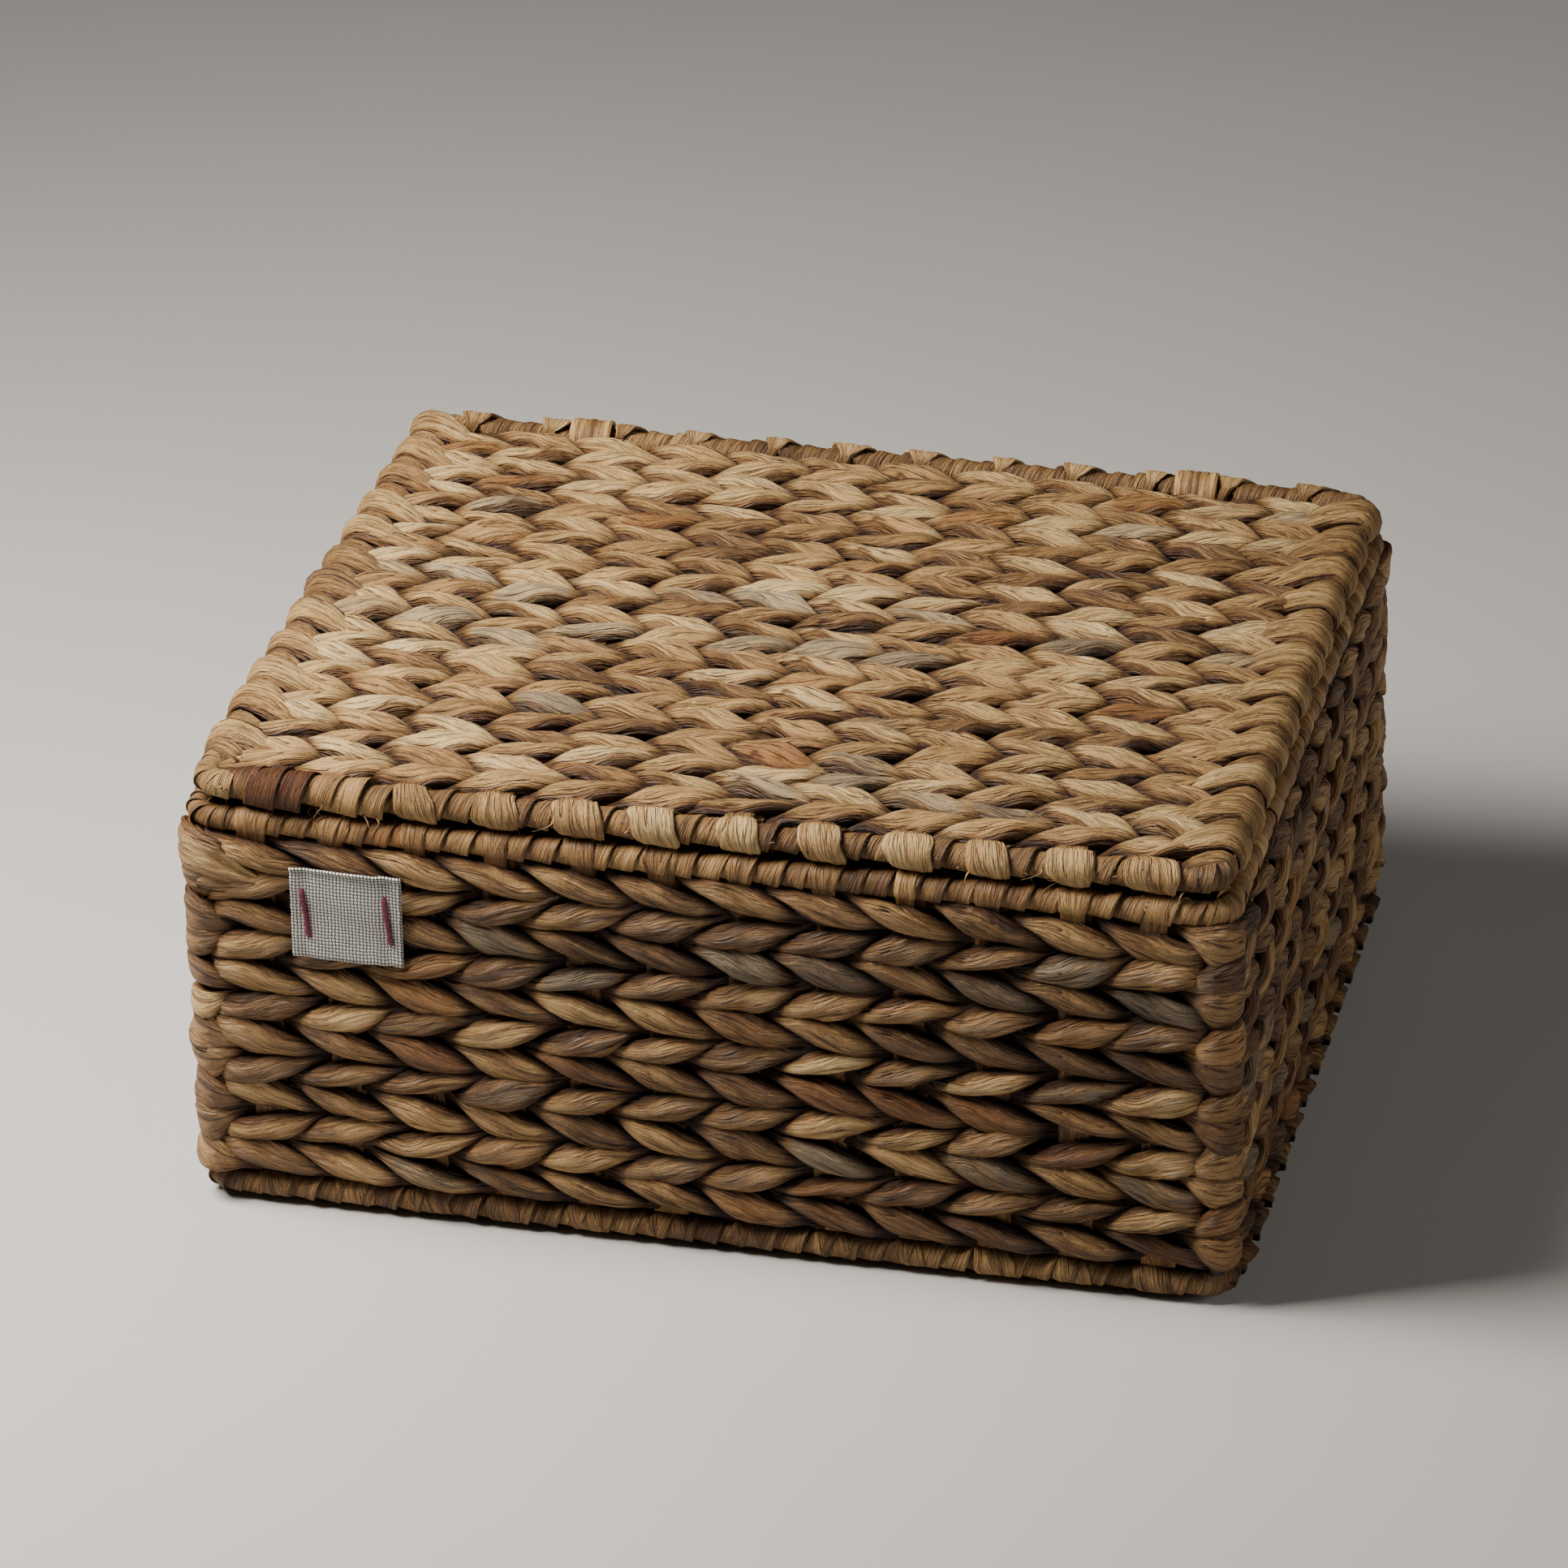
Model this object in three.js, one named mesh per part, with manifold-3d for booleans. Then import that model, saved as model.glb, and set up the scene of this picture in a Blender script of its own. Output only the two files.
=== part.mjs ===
// Lidded storage basket of twined water hyacinth over a steel wire frame.
// Millimetres. X runs to the right, Y to the back and Z up.
// The origin is the middle of the underside, and the front carries the label.

import * as THREE from 'three';
import { mergeVertices } from 'three/addons/utils/BufferGeometryUtils.js';
import Module from 'manifold-3d';

const wasm = await Module();
wasm.setup();

// Driving dimensions of the box
const boxWidth = 330;
const boxDepth = 270;
const courseCount = 11;
const coursePitch = 10.6;
const stakePitch = 25.4;
const lidRowCount = 24;
const lidSideInset = 2.5;
const lidFrontInset = 1.5;
const clearance = 0.3;

// Frame wires, the strip wound round them and the stake ends folded over them
const wireDiameter = 5;
const bindingThickness = 1.8;
const foldThickness = 0.9;
const innerBend = 0.8;

// Woven strands: how much thicker they are than the folded binding, and their relief
const strandExcess = 0.8;
const stitchBulge = 0.3;
const seamDepth = 1.3;
const tightNotchDepth = 3.8;
const openNotchDepth = 5.5;
const ribRelief = 1.5;
const loopLength = 29;
const loopRelief = 2.6;
const loopChamfer = 3;
const hairpinDepth = 2;
const hairpinShoulderShare = 0.28;
const stitchSlantShare = 0.44;
const ridgeLengthShare = 0.76;
const ridgeTiltShare = 0.12;

// Flat stakes that the strands are twined round
const stakeWidth = 8;
const stakeThickness = 2.4;

// Strip wound round both back wires, which hinges the lid
const lashingTurns = 4;
const lashingBay = 2;
const lashingWidth = 2.8;
const lashingThickness = 1.6;
const lashingTurnGap = 0.5;

// Cotton label and its two thread stitches
const labelWidth = 35;
const labelHeight = 30.5;
const labelThickness = 0.9;
const labelFromLeft = 54.8;
const labelBelowTop = 43.1;
const labelTilt = THREE.MathUtils.degToRad(0.4);
const threadLength = 18;
const threadDiameter = 1;
const threadFromEdge = 3.2;

// Facets
const wireSides = 8;
const wrapSides = 6;
const bendSteps = 2;
const lashingArcSteps = 6;
const cornerArcSteps = 2;
const cutOverrun = 4;
const sliverSize = 0.02;

// Sizes that follow from those above
const wireRadius = wireDiameter / 2;
const bindingRadius = wireRadius + bindingThickness;
const foldRadius = bindingRadius + foldThickness;
const halfWeave = foldRadius + strandExcess;
const weaveThickness = 2 * halfWeave;
const crestHeight = halfWeave + stitchBulge;
const wireBend = foldRadius + innerBend;
const boreRadius = (wireRadius + clearance) / Math.cos(Math.PI / wrapSides);
const foldHeight = Math.max(...polygon(foldRadius, wrapSides).map(([, up]) => up));
const lashingPitch = lashingWidth + lashingTurnGap;
const lashingLength = lashingTurns * lashingPitch + lashingWidth;
const lashingInnerRadius = foldRadius + clearance;
const lashingOuterRadius = lashingInnerRadius + lashingThickness;
const threadX = labelWidth / 2 - threadFromEdge;

// Heights, from the floor up
const wallBottom = weaveThickness + clearance;
const wallHeight = courseCount * coursePitch;
const wallTop = wallBottom + wallHeight;
const rimZ = wallTop + clearance + foldHeight;
const lidZ = rimZ + foldHeight + clearance + halfWeave;

// Centre lines of the three frame wires
const rimHalfX = boxWidth / 2 - halfWeave;
const rimHalfY = boxDepth / 2 - halfWeave;
const baseFrame = { halfX: rimHalfX, front: -rimHalfY, back: rimHalfY, z: halfWeave };
const rimFrame = { halfX: rimHalfX, front: -rimHalfY, back: rimHalfY, z: rimZ };
const lidFrame = {
  halfX: rimHalfX - lidSideInset,
  front: -rimHalfY + lidFrontInset,
  back: rimHalfY,
  z: lidZ,
};

// The corner posts stand on the middle of each bend
const postInset = halfWeave + wireBend * (1 - Math.SQRT1_2);

// Stakes stand at an even pitch, with a half bay's strand at each corner
const evenStakes = (length) => {
  const count = Math.round(length / stakePitch) - 1;
  const pitch = length / (count + 1);
  const places = Array.from({ length: count }, (_, index) => (index - (count - 1) / 2) * pitch);
  return { count, pitch, places };
};
const wideStakes = evenStakes(boxWidth);
const deepStakes = evenStakes(boxDepth);
const lashingX = boxWidth / 2 - (lashingBay + 1 / 2) * wideStakes.pitch;

// Materials
const finish = (color, roughness, metalness) => new THREE.MeshStandardMaterial({ color, roughness, metalness });
const wallStrand = finish(0x8a683f, 0.72, 0);
const lidStrand = finish(0xb08c58, 0.7, 0);
const baseStrand = finish(0x7d5f3a, 0.75, 0);
const stakeFibre = finish(0xa0814f, 0.78, 0);
const wrapFibre = finish(0x97753f, 0.74, 0);
const steelWire = finish(0x3b3a38, 0.55, 1);
const cotton = finish(0xe6e0d2, 0.9, 0);
const thread = finish(0x7c2f27, 0.8, 0);

// Solid from a closed geometry, for cutting and joining
function toSolid(geometry) {
  const bare = new THREE.BufferGeometry();
  bare.setAttribute('position', geometry.getAttribute('position'));
  bare.setIndex(geometry.getIndex());
  const merged = mergeVertices(bare);
  return new wasm.Manifold(new wasm.Mesh({
    numProp: 3,
    vertProperties: new Float32Array(merged.getAttribute('position').array),
    triVerts: new Uint32Array(merged.getIndex().array),
  }));
}

// Geometry from a solid
function toGeometry(solid) {
  const { vertProperties, triVerts } = solid.simplify(sliverSize).getMesh();
  const geometry = new THREE.BufferGeometry();
  geometry.setAttribute('position', new THREE.BufferAttribute(new Float32Array(vertProperties), 3));
  geometry.setIndex(new THREE.BufferAttribute(new Uint32Array(triVerts), 1));
  geometry.computeVertexNormals();
  return geometry;
}

// Closed skin over rings of points, each ring right-handed about the direction of travel
function skin(rings, isLoop = false) {
  const ringSize = rings[0].length;
  const spans = isLoop ? rings.length : rings.length - 1;
  const indices = [];
  for (let ring = 0; ring < spans; ring += 1) {
    const here = ring * ringSize;
    const next = ((ring + 1) % rings.length) * ringSize;
    for (let side = 0; side < ringSize; side += 1) {
      const turned = (side + 1) % ringSize;
      indices.push(here + side, here + turned, next + turned);
      indices.push(here + side, next + turned, next + side);
    }
  }
  if (!isLoop) {
    const last = spans * ringSize;
    for (let side = 1; side < ringSize - 1; side += 1) {
      indices.push(0, side + 1, side);
      indices.push(last, last + side, last + side + 1);
    }
  }
  const geometry = new THREE.BufferGeometry();
  const positions = rings.flat().flatMap((point) => point.toArray());
  geometry.setAttribute('position', new THREE.Float32BufferAttribute(positions, 3));
  geometry.setIndex(indices);
  geometry.computeVertexNormals();
  return geometry;
}

// Outline of [a, b] points extruded up to a length, before it is turned to its axis
function extruded(points, from, to) {
  const shape = new THREE.Shape(points.map(([a, b]) => new THREE.Vector2(a, b)));
  return new THREE.ExtrudeGeometry(shape, { depth: to - from, bevelEnabled: false });
}

// Outline in Y and Z, extruded along X
function alongX(points, from, to) {
  const turn = new THREE.Matrix4().makeBasis(
    new THREE.Vector3(0, 1, 0),
    new THREE.Vector3(0, 0, 1),
    new THREE.Vector3(1, 0, 0),
  );
  return extruded(points, from, to).translate(0, 0, from).applyMatrix4(turn);
}

// Outline in X and Z, extruded along Y
function alongY(points, from, to) {
  return extruded(points, from, to).translate(0, 0, -to).rotateX(Math.PI / 2);
}

// Outline in X and Y, extruded along Z
function alongZ(points, from, to) {
  return extruded(points, from, to).translate(0, 0, from);
}

// Corners of a rectangle as outline points
function rectangle(halfA, halfB, centreA = 0, centreB = 0) {
  const signs = [[-1, -1], [1, -1], [1, 1], [-1, 1]];
  return signs.map(([a, b]) => [centreA + a * halfA, centreB + b * halfB]);
}

// Corners of a regular polygon as outline points, the first on the first axis
function polygon(radius, sides, centreA = 0, centreB = 0) {
  return Array.from({ length: sides }, (_, side) => {
    const angle = (side * 2 * Math.PI) / sides;
    return [centreA + radius * Math.cos(angle), centreB + radius * Math.sin(angle)];
  });
}

// Twined face: each stitch is a long slanted cell with a ridge along its middle.
// Seams part it from the rows above and below, and notches lie at its ends, tight
// where the rows draw together and open where they spread.
function stitchedBlock(columns, columnPitch, rows, rowPitch, firstLeansRight) {
  const positions = [];
  const indices = [];
  const add = (place, row, z) => positions.push((place - columns / 2) * columnPitch, row * rowPitch, z) / 3 - 1;
  const face = (...points) => {
    for (let point = 2; point < points.length; point += 1) {
      indices.push(points[0], points[point - 1], points[point]);
    }
  };
  const leansRight = (row) => (row % 2 === 0) === firstLeansRight;
  const borders = Array.from({ length: rows + 1 }, (_, row) => {
    const start = (leansRight(row) ? -1 : 1) * (stitchSlantShare / 2);
    const notchDepth = leansRight(row) ? tightNotchDepth : openNotchDepth;
    const along = (count, first, z) => Array.from({ length: count }, (__, column) => add(column + first, row, z));
    return {
      notches: along(columns + 1, start, crestHeight - notchDepth),
      seams: along(columns, 1 / 2, crestHeight - seamDepth),
      feet: along(columns + 1, start, -stakeThickness),
    };
  });
  for (let row = 0; row < rows; row += 1) {
    const near = borders[row];
    const far = borders[row + 1];
    const tilt = (leansRight(row) ? 1 : -1) * (ridgeTiltShare / 2);
    for (let column = 0; column < columns; column += 1) {
      const left = add(column + (1 - ridgeLengthShare) / 2, row + 1 / 2 - tilt, crestHeight);
      const right = add(column + (1 + ridgeLengthShare) / 2, row + 1 / 2 + tilt, crestHeight);
      const next = column + 1;
      face(near.seams[column], right, left, near.notches[column]);
      face(near.seams[column], near.notches[next], right);
      face(right, near.notches[next], far.notches[next]);
      face(far.seams[column], left, right, far.notches[next]);
      face(far.seams[column], far.notches[column], left);
      face(left, far.notches[column], near.notches[column]);
      face(near.feet[next], near.feet[column], far.feet[column], far.feet[next]);
    }
    face(far.feet[0], near.feet[0], near.notches[0], far.notches[0]);
    face(near.feet[columns], far.feet[columns], far.notches[columns], near.notches[columns]);
  }
  const first = borders[0];
  const last = borders[rows];
  for (let column = 0; column < columns; column += 1) {
    const next = column + 1;
    face(first.feet[column], first.feet[next], first.notches[next], first.seams[column], first.notches[column]);
    face(last.feet[next], last.feet[column], last.notches[column], last.seams[column], last.notches[next]);
  }
  const geometry = new THREE.BufferGeometry();
  geometry.setAttribute('position', new THREE.Float32BufferAttribute(positions, 3));
  geometry.setIndex(indices);
  return toSolid(geometry);
}

// Slab with straight ribs along X, stacked along Y from zero
function ribbedSlab(count, pitch, halfLength, flatZ, crestZ, relief = ribRelief) {
  const valleyZ = crestZ - Math.sign(crestZ - flatZ) * relief;
  const ribs = Array.from({ length: 2 * count + 1 }, (_, index) => (
    [(index * pitch) / 2, index % 2 === 1 ? crestZ : valleyZ]
  ));
  const outline = [...ribs, [count * pitch, flatZ], [0, flatZ]];
  return toSolid(alongX(outline, -halfLength, halfLength));
}

// Passages for the stakes through a panel that starts at y = 0
function stakeSlots(stakes, length) {
  const outline = (x) => rectangle(stakeWidth / 2 + clearance, stakeThickness / 2 + clearance, x);
  const slots = stakes.places.map((x) => toSolid(alongY(outline(x), -cutOverrun, length + cutOverrun)));
  return slots.reduce((all, slot) => all.add(slot));
}

// Woven panel lying flat: stitches on top, ribs below, rows stacked along Y from zero.
// Cells beyond the stakes carry the stitches on round a corner.
function wovenPanel(stakes, cellsBeyond, rows, rowPitch, firstLeansRight) {
  const columns = stakes.count + 2 * cellsBeyond;
  const halfLength = ((stakes.count + 2) * stakes.pitch) / 2;
  const face = stitchedBlock(columns, stakes.pitch, rows, rowPitch, firstLeansRight);
  return face.add(ribbedSlab(rows, rowPitch, halfLength, 0, -halfWeave));
}

// Plan of one wall: mitred at both ends, rounded on the outside of the corner.
// The second value of each point is the distance out from the wall's middle plane.
function wallPlan(length) {
  const cornerRadius = wireBend + halfWeave;
  const outerRadius = wireBend + crestHeight;
  const slip = (clearance / 2) * Math.SQRT2;
  const arcX = length / 2 - cornerRadius;
  const arcOut = halfWeave - cornerRadius;
  const arc = Array.from({ length: cornerArcSteps + 1 }, (_, step) => {
    const angle = ((step / cornerArcSteps) * Math.PI) / 4;
    const back = step === cornerArcSteps ? slip / 2 : 0;
    return [
      arcX + outerRadius * Math.sin(angle) - back,
      arcOut + outerRadius * Math.cos(angle) - back,
    ];
  });
  const rightHalf = [...arc, [length / 2 - weaveThickness - slip, -halfWeave]];
  const leftHalf = rightHalf.map(([x, out]) => [-x, out]).reverse();
  return [...rightHalf, ...leftHalf];
}

// One wall, standing, with grooves for the corner posts
function wallWeave(length, stakes, hasLashings) {
  const plan = alongY(wallPlan(length), -cutOverrun, wallHeight + cutOverrun);
  const postX = length / 2 - postInset;
  const postOut = halfWeave - postInset;
  let panel = wovenPanel(stakes, 1, courseCount, coursePitch, courseCount % 2 === 0)
    .subtract(stakeSlots(stakes, wallHeight))
    .intersect(toSolid(plan));
  for (const x of [-postX, postX]) {
    const groove = alongY(polygon(boreRadius, wrapSides, x, postOut), -cutOverrun, wallHeight + cutOverrun);
    panel = panel.subtract(toSolid(groove));
  }
  if (hasLashings) {
    const notchFloor = rimZ - wallBottom - lashingOuterRadius - clearance;
    const halfGap = lashingLength / 2 + clearance;
    for (const x of [-lashingX, lashingX]) {
      const notch = alongY(rectangle(halfGap, weaveThickness, x), notchFloor, wallHeight + cutOverrun);
      panel = panel.subtract(toSolid(notch));
    }
  }
  return toGeometry(panel).rotateX(Math.PI / 2);
}

// Plan of the lid or base: every pair of rows turns back round the side wire as a loop
function loopedPlan(halfX, depth) {
  const pairDepth = (2 * depth) / lidRowCount;
  const side = [];
  for (let pair = 0; pair < lidRowCount / 2; pair += 1) {
    const start = pair * pairDepth;
    side.push([halfX - hairpinDepth, start]);
    side.push([halfX, start + pairDepth * hairpinShoulderShare]);
    side.push([halfX, start + pairDepth * (1 - hairpinShoulderShare)]);
  }
  side.push([halfX - hairpinDepth, depth]);
  return [...side, ...side.map(([x, y]) => [-x, y]).reverse()];
}

// Cuts a flat panel to its looped sides and bores it for the side wires
function trimmedToWires(panel, frame, depth) {
  const halfX = frame.halfX + halfWeave;
  const edge = [
    [halfX - loopChamfer, crestHeight],
    [halfX, crestHeight - loopChamfer],
    [halfX, loopChamfer - halfWeave],
    [halfX - loopChamfer, -halfWeave],
  ];
  const profile = [...edge, ...edge.map(([x, z]) => [-x, z]).reverse()];
  let trimmed = panel
    .intersect(toSolid(alongY(profile, -cutOverrun, depth + cutOverrun)))
    .intersect(toSolid(alongZ(loopedPlan(halfX, depth), -weaveThickness, weaveThickness)));
  for (const x of [-frame.halfX, frame.halfX]) {
    const bore = alongY(polygon(boreRadius, wrapSides, x), -cutOverrun, depth + cutOverrun);
    trimmed = trimmed.subtract(toSolid(bore));
  }
  return trimmed;
}

// Length of the rows' stack between the front and back bindings
const rowSpan = (frame) => frame.back - frame.front - 2 * (wireBend + clearance);
const rowStart = (frame) => frame.front + wireBend + clearance;

// Woven top of the lid, its rows looped over the side wires and cut away where the lashings pass
function lidWeave() {
  const depth = rowSpan(lidFrame);
  const rowPitch = depth / lidRowCount;
  const loops = ribbedSlab(
    lidRowCount / 2,
    2 * rowPitch,
    loopLength / 2,
    -stakeThickness,
    crestHeight,
    loopRelief,
  );
  const loopX = lidFrame.halfX + halfWeave - loopLength / 2;
  const panel = wovenPanel(wideStakes, 0, lidRowCount, rowPitch, true)
    .add(loops.translate([-loopX, 0, 0]))
    .add(loops.translate([loopX, 0, 0]))
    .subtract(stakeSlots(wideStakes, depth));
  let trimmed = trimmedToWires(panel, lidFrame, depth);
  const notchFront = lidFrame.back - lashingOuterRadius - clearance - rowStart(lidFrame);
  for (const x of [-lashingX, lashingX]) {
    const notch = alongY(
      rectangle(lashingLength / 2 + clearance, weaveThickness, x),
      notchFront,
      depth + cutOverrun,
    );
    trimmed = trimmed.subtract(toSolid(notch));
  }
  return toGeometry(trimmed);
}

// Woven floor: ribbed inside the box, flat where it stands
function baseWeave() {
  const depth = rowSpan(baseFrame);
  const halfLength = boxWidth / 2;
  const slab = ribbedSlab(lidRowCount, depth / lidRowCount, halfLength, -halfWeave, halfWeave)
    .subtract(stakeSlots(wideStakes, depth));
  return toGeometry(trimmedToWires(slab, baseFrame, depth));
}

// Corners in the order in which the wires run round, anticlockwise from above
const corners = [
  { name: 'front_right', signX: 1, signY: -1, startAngle: -Math.PI / 2 },
  { name: 'back_right', signX: 1, signY: 1, startAngle: 0 },
  { name: 'back_left', signX: -1, signY: 1, startAngle: Math.PI / 2 },
  { name: 'front_left', signX: -1, signY: -1, startAngle: Math.PI },
];

// Section rings round a wire's centre line at one bend, at height zero
function bendRings(frame, corner, radius, sides) {
  const centreX = corner.signX * (frame.halfX - wireBend);
  const centreY = corner.signY < 0 ? frame.front + wireBend : frame.back - wireBend;
  return Array.from({ length: bendSteps + 1 }, (_, step) => {
    const angle = corner.startAngle + ((step / bendSteps) * Math.PI) / 2;
    const out = new THREE.Vector2(Math.cos(angle), Math.sin(angle));
    return polygon(radius, sides).map(([inward, up]) => new THREE.Vector3(
      centreX + out.x * (wireBend - inward),
      centreY + out.y * (wireBend - inward),
      up,
    ));
  });
}

// Wire bent to a closed ring, its ends welded
function frameWire(frame) {
  return skin(corners.flatMap((corner) => bendRings(frame, corner, wireRadius, wireSides)), true);
}

// Strip wound round a wire's bend, open towards the corner post if one stands there
function cornerWrap(frame, corner, postSide) {
  const bore = bendRings(frame, corner, boreRadius, wrapSides);
  const first = bore[0].map((point) => point.clone());
  const last = bore[bendSteps].map((point) => point.clone());
  const along = new THREE.Vector3(-Math.sin(corner.startAngle), Math.cos(corner.startAngle), 0);
  const across = new THREE.Vector3(-along.y, along.x, 0);
  first.forEach((point) => point.addScaledVector(along, -cutOverrun));
  last.forEach((point) => point.addScaledVector(across, cutOverrun));
  let wrap = toSolid(skin(bendRings(frame, corner, foldRadius, wrapSides)));
  wrap = wrap.subtract(toSolid(skin([first, ...bore, last])));
  if (postSide !== 0) {
    const postX = corner.signX * (boxWidth / 2 - postInset);
    const postY = corner.signY * (boxDepth / 2 - postInset);
    const ends = [0, postSide * (foldRadius + cutOverrun)].sort((a, b) => a - b);
    wrap = wrap.subtract(toSolid(alongZ(polygon(boreRadius, wrapSides, postX, postY), ...ends)));
  }
  return toGeometry(wrap);
}

// Sleeve of strip wound along a straight wire, proud where each stake folds over it
function bindingSleeve(halfLength, stakes) {
  const stations = [{ x: -halfLength, radius: bindingRadius }];
  stakes.places.forEach((x, index) => {
    if (index > 0) {
      stations.push({ x: x - stakes.pitch / 2, radius: bindingRadius });
    }
    stations.push({ x, radius: foldRadius });
  });
  stations.push({ x: halfLength, radius: bindingRadius });
  return toSolid(skin(stations.map(({ x, radius }) => (
    polygon(radius, wrapSides).map(([y, z]) => new THREE.Vector3(x, y, z))
  ))));
}

// Bore of a sleeve, for the wire
const sleeveBore = (halfLength) => (
  toSolid(alongX(polygon(boreRadius, wrapSides), -halfLength - cutOverrun, halfLength + cutOverrun))
);

// The strips start inside the sleeve's wall, clear of its bore
const stripStart = (boreRadius + bindingRadius) / 2;

// Rim binding with one wall's stakes hanging from it, centred on the rim wire
function wallStakes(length, stakes, tipZ) {
  const halfLength = length / 2 - halfWeave - wireBend - clearance;
  let comb = bindingSleeve(halfLength, stakes).subtract(sleeveBore(halfLength));
  for (const x of stakes.places) {
    const section = rectangle(stakeWidth / 2, stakeThickness / 2, x);
    comb = comb.add(toSolid(alongZ(section, tipZ - rimZ, -stripStart)));
  }
  return toGeometry(comb);
}

// Stakes of the lid or base, which fold over the front and back wires
function panelStakes(frame) {
  const halfLength = frame.halfX - wireBend - clearance;
  const sleeve = bindingSleeve(halfLength, wideStakes).subtract(sleeveBore(halfLength));
  let comb = sleeve.translate([0, frame.front, 0]).add(sleeve.translate([0, frame.back, 0]));
  for (const x of wideStakes.places) {
    const section = rectangle(stakeWidth / 2, stakeThickness / 2, x);
    comb = comb.add(toSolid(alongY(section, frame.front + stripStart, frame.back - stripStart)));
  }
  return toGeometry(comb);
}

// Flat strip wound round the rim's and the lid's back wires, centred on the rim wire.
// It is printed how near its turns come to each other.
function hingeLashing() {
  const stationsPerTurn = 2 * (lashingArcSteps + 1);
  const stationCount = lashingTurns * stationsPerTurn;
  const rings = [];
  for (let station = 0; station <= stationCount; station += 1) {
    const place = (station + lashingArcSteps / 2) % stationsPerTurn;
    const isLower = place <= lashingArcSteps;
    const step = isLower ? place : place - lashingArcSteps - 1;
    const angle = (isLower ? Math.PI : 0) + (step / lashingArcSteps) * Math.PI;
    const middleZ = isLower ? 0 : lidZ - rimZ;
    const x = (station / stationCount - 1 / 2) * lashingTurns * lashingPitch;
    const corner = (side, radius) => new THREE.Vector3(
      x + (side * lashingWidth) / 2,
      radius * Math.cos(angle),
      middleZ + radius * Math.sin(angle),
    );
    rings.push([
      corner(1, lashingInnerRadius),
      corner(1, lashingOuterRadius),
      corner(-1, lashingOuterRadius),
      corner(-1, lashingInnerRadius),
    ]);
  }
  const gaps = rings.slice(stationsPerTurn).flatMap((ring, index) => (
    rings[index].slice(0, 2).flatMap((point) => ring.slice(2).map((other) => point.distanceTo(other)))
  ));
  console.log(`Hinge lashing: least gap between turns ${Math.min(...gaps).toFixed(2)} mm`);
  return skin(rings);
}

// Cotton label with holes for its threads, centred on its own back
function labelPatch() {
  const holeRadius = (threadDiameter / 2 + clearance) / Math.cos(Math.PI / wrapSides);
  const legZ = (threadLength - threadDiameter) / 2;
  let patch = toSolid(alongY(rectangle(labelWidth / 2, labelHeight / 2), -labelThickness, 0));
  for (const [x, z] of rectangle(threadX, legZ)) {
    const hole = polygon(holeRadius, wrapSides, x, z);
    patch = patch.subtract(toSolid(alongY(hole, -labelThickness - cutOverrun, cutOverrun)));
  }
  return toGeometry(patch);
}

// One thread stitch: a bar across the label's face with a leg through it at each end
function threadStitch() {
  const half = threadLength / 2;
  const legEnd = half - threadDiameter;
  const faceY = -labelThickness - clearance;
  const outline = [
    [0, -half],
    [0, -legEnd],
    [faceY, -legEnd],
    [faceY, legEnd],
    [0, legEnd],
    [0, half],
    [faceY - threadDiameter, half],
    [faceY - threadDiameter, -half],
  ];
  return alongX(outline, -threadDiameter / 2, threadDiameter / 2);
}

// Adds a named piece to a group at a height and a distance back
function place(parent, name, geometry, material, z = 0, y = 0, x = 0) {
  const mesh = new THREE.Mesh(geometry, material);
  mesh.name = name;
  mesh.position.set(x, y, z);
  parent.add(mesh);
}

const group = new THREE.Group();

// Wire frame and floor
place(group, 'base_frame_wire', frameWire(baseFrame), steelWire, baseFrame.z);
place(group, 'rim_frame_wire', frameWire(rimFrame), steelWire, rimFrame.z);
for (const corner of corners) {
  const postX = corner.signX * (boxWidth / 2 - postInset);
  const postY = corner.signY * (boxDepth / 2 - postInset);
  const foot = baseFrame.z + wireRadius + clearance;
  const head = rimFrame.z - wireRadius - clearance;
  const post = alongZ(polygon(wireRadius, wireSides), foot, head);
  place(group, `corner_post_${corner.name}`, post, steelWire, 0, postY, postX);
  place(group, `base_corner_wrap_${corner.name}`, cornerWrap(baseFrame, corner, 1), wrapFibre, baseFrame.z);
  place(group, `rim_corner_wrap_${corner.name}`, cornerWrap(rimFrame, corner, -1), wrapFibre, rimFrame.z);
}
place(group, 'base_weave', baseWeave(), baseStrand, baseFrame.z, rowStart(baseFrame));
place(group, 'base_stakes', panelStakes(baseFrame), stakeFibre, baseFrame.z);

// Walls: the stakes of the side walls end on the floor's loops, the others on the base binding
const overBinding = baseFrame.z + foldHeight + clearance;
const walls = [
  { name: 'front', turn: 0, length: boxWidth, out: rimHalfY, stakes: wideStakes, tipZ: overBinding },
  { name: 'right', turn: Math.PI / 2, length: boxDepth, out: rimHalfX, stakes: deepStakes, tipZ: wallBottom },
  { name: 'back', turn: Math.PI, length: boxWidth, out: rimHalfY, stakes: wideStakes, tipZ: overBinding },
  { name: 'left', turn: -Math.PI / 2, length: boxDepth, out: rimHalfX, stakes: deepStakes, tipZ: wallBottom },
];
for (const { name, turn, length, out, stakes, tipZ } of walls) {
  const side = new THREE.Group();
  side.rotation.z = turn;
  place(side, `${name}_weave`, wallWeave(length, stakes, name === 'back'), wallStrand, wallBottom, -out);
  place(side, `${name}_stakes`, wallStakes(length, stakes, tipZ), stakeFibre, rimZ, -out);
  group.add(side);
}

// Lid
const lid = new THREE.Group();
lid.position.z = lidFrame.z;
place(lid, 'lid_frame_wire', frameWire(lidFrame), steelWire);
place(lid, 'lid_weave', lidWeave(), lidStrand, 0, rowStart(lidFrame));
place(lid, 'lid_stakes', panelStakes(lidFrame), stakeFibre);
for (const corner of corners) {
  place(lid, `lid_corner_wrap_${corner.name}`, cornerWrap(lidFrame, corner, 0), wrapFibre);
}
group.add(lid);

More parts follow.
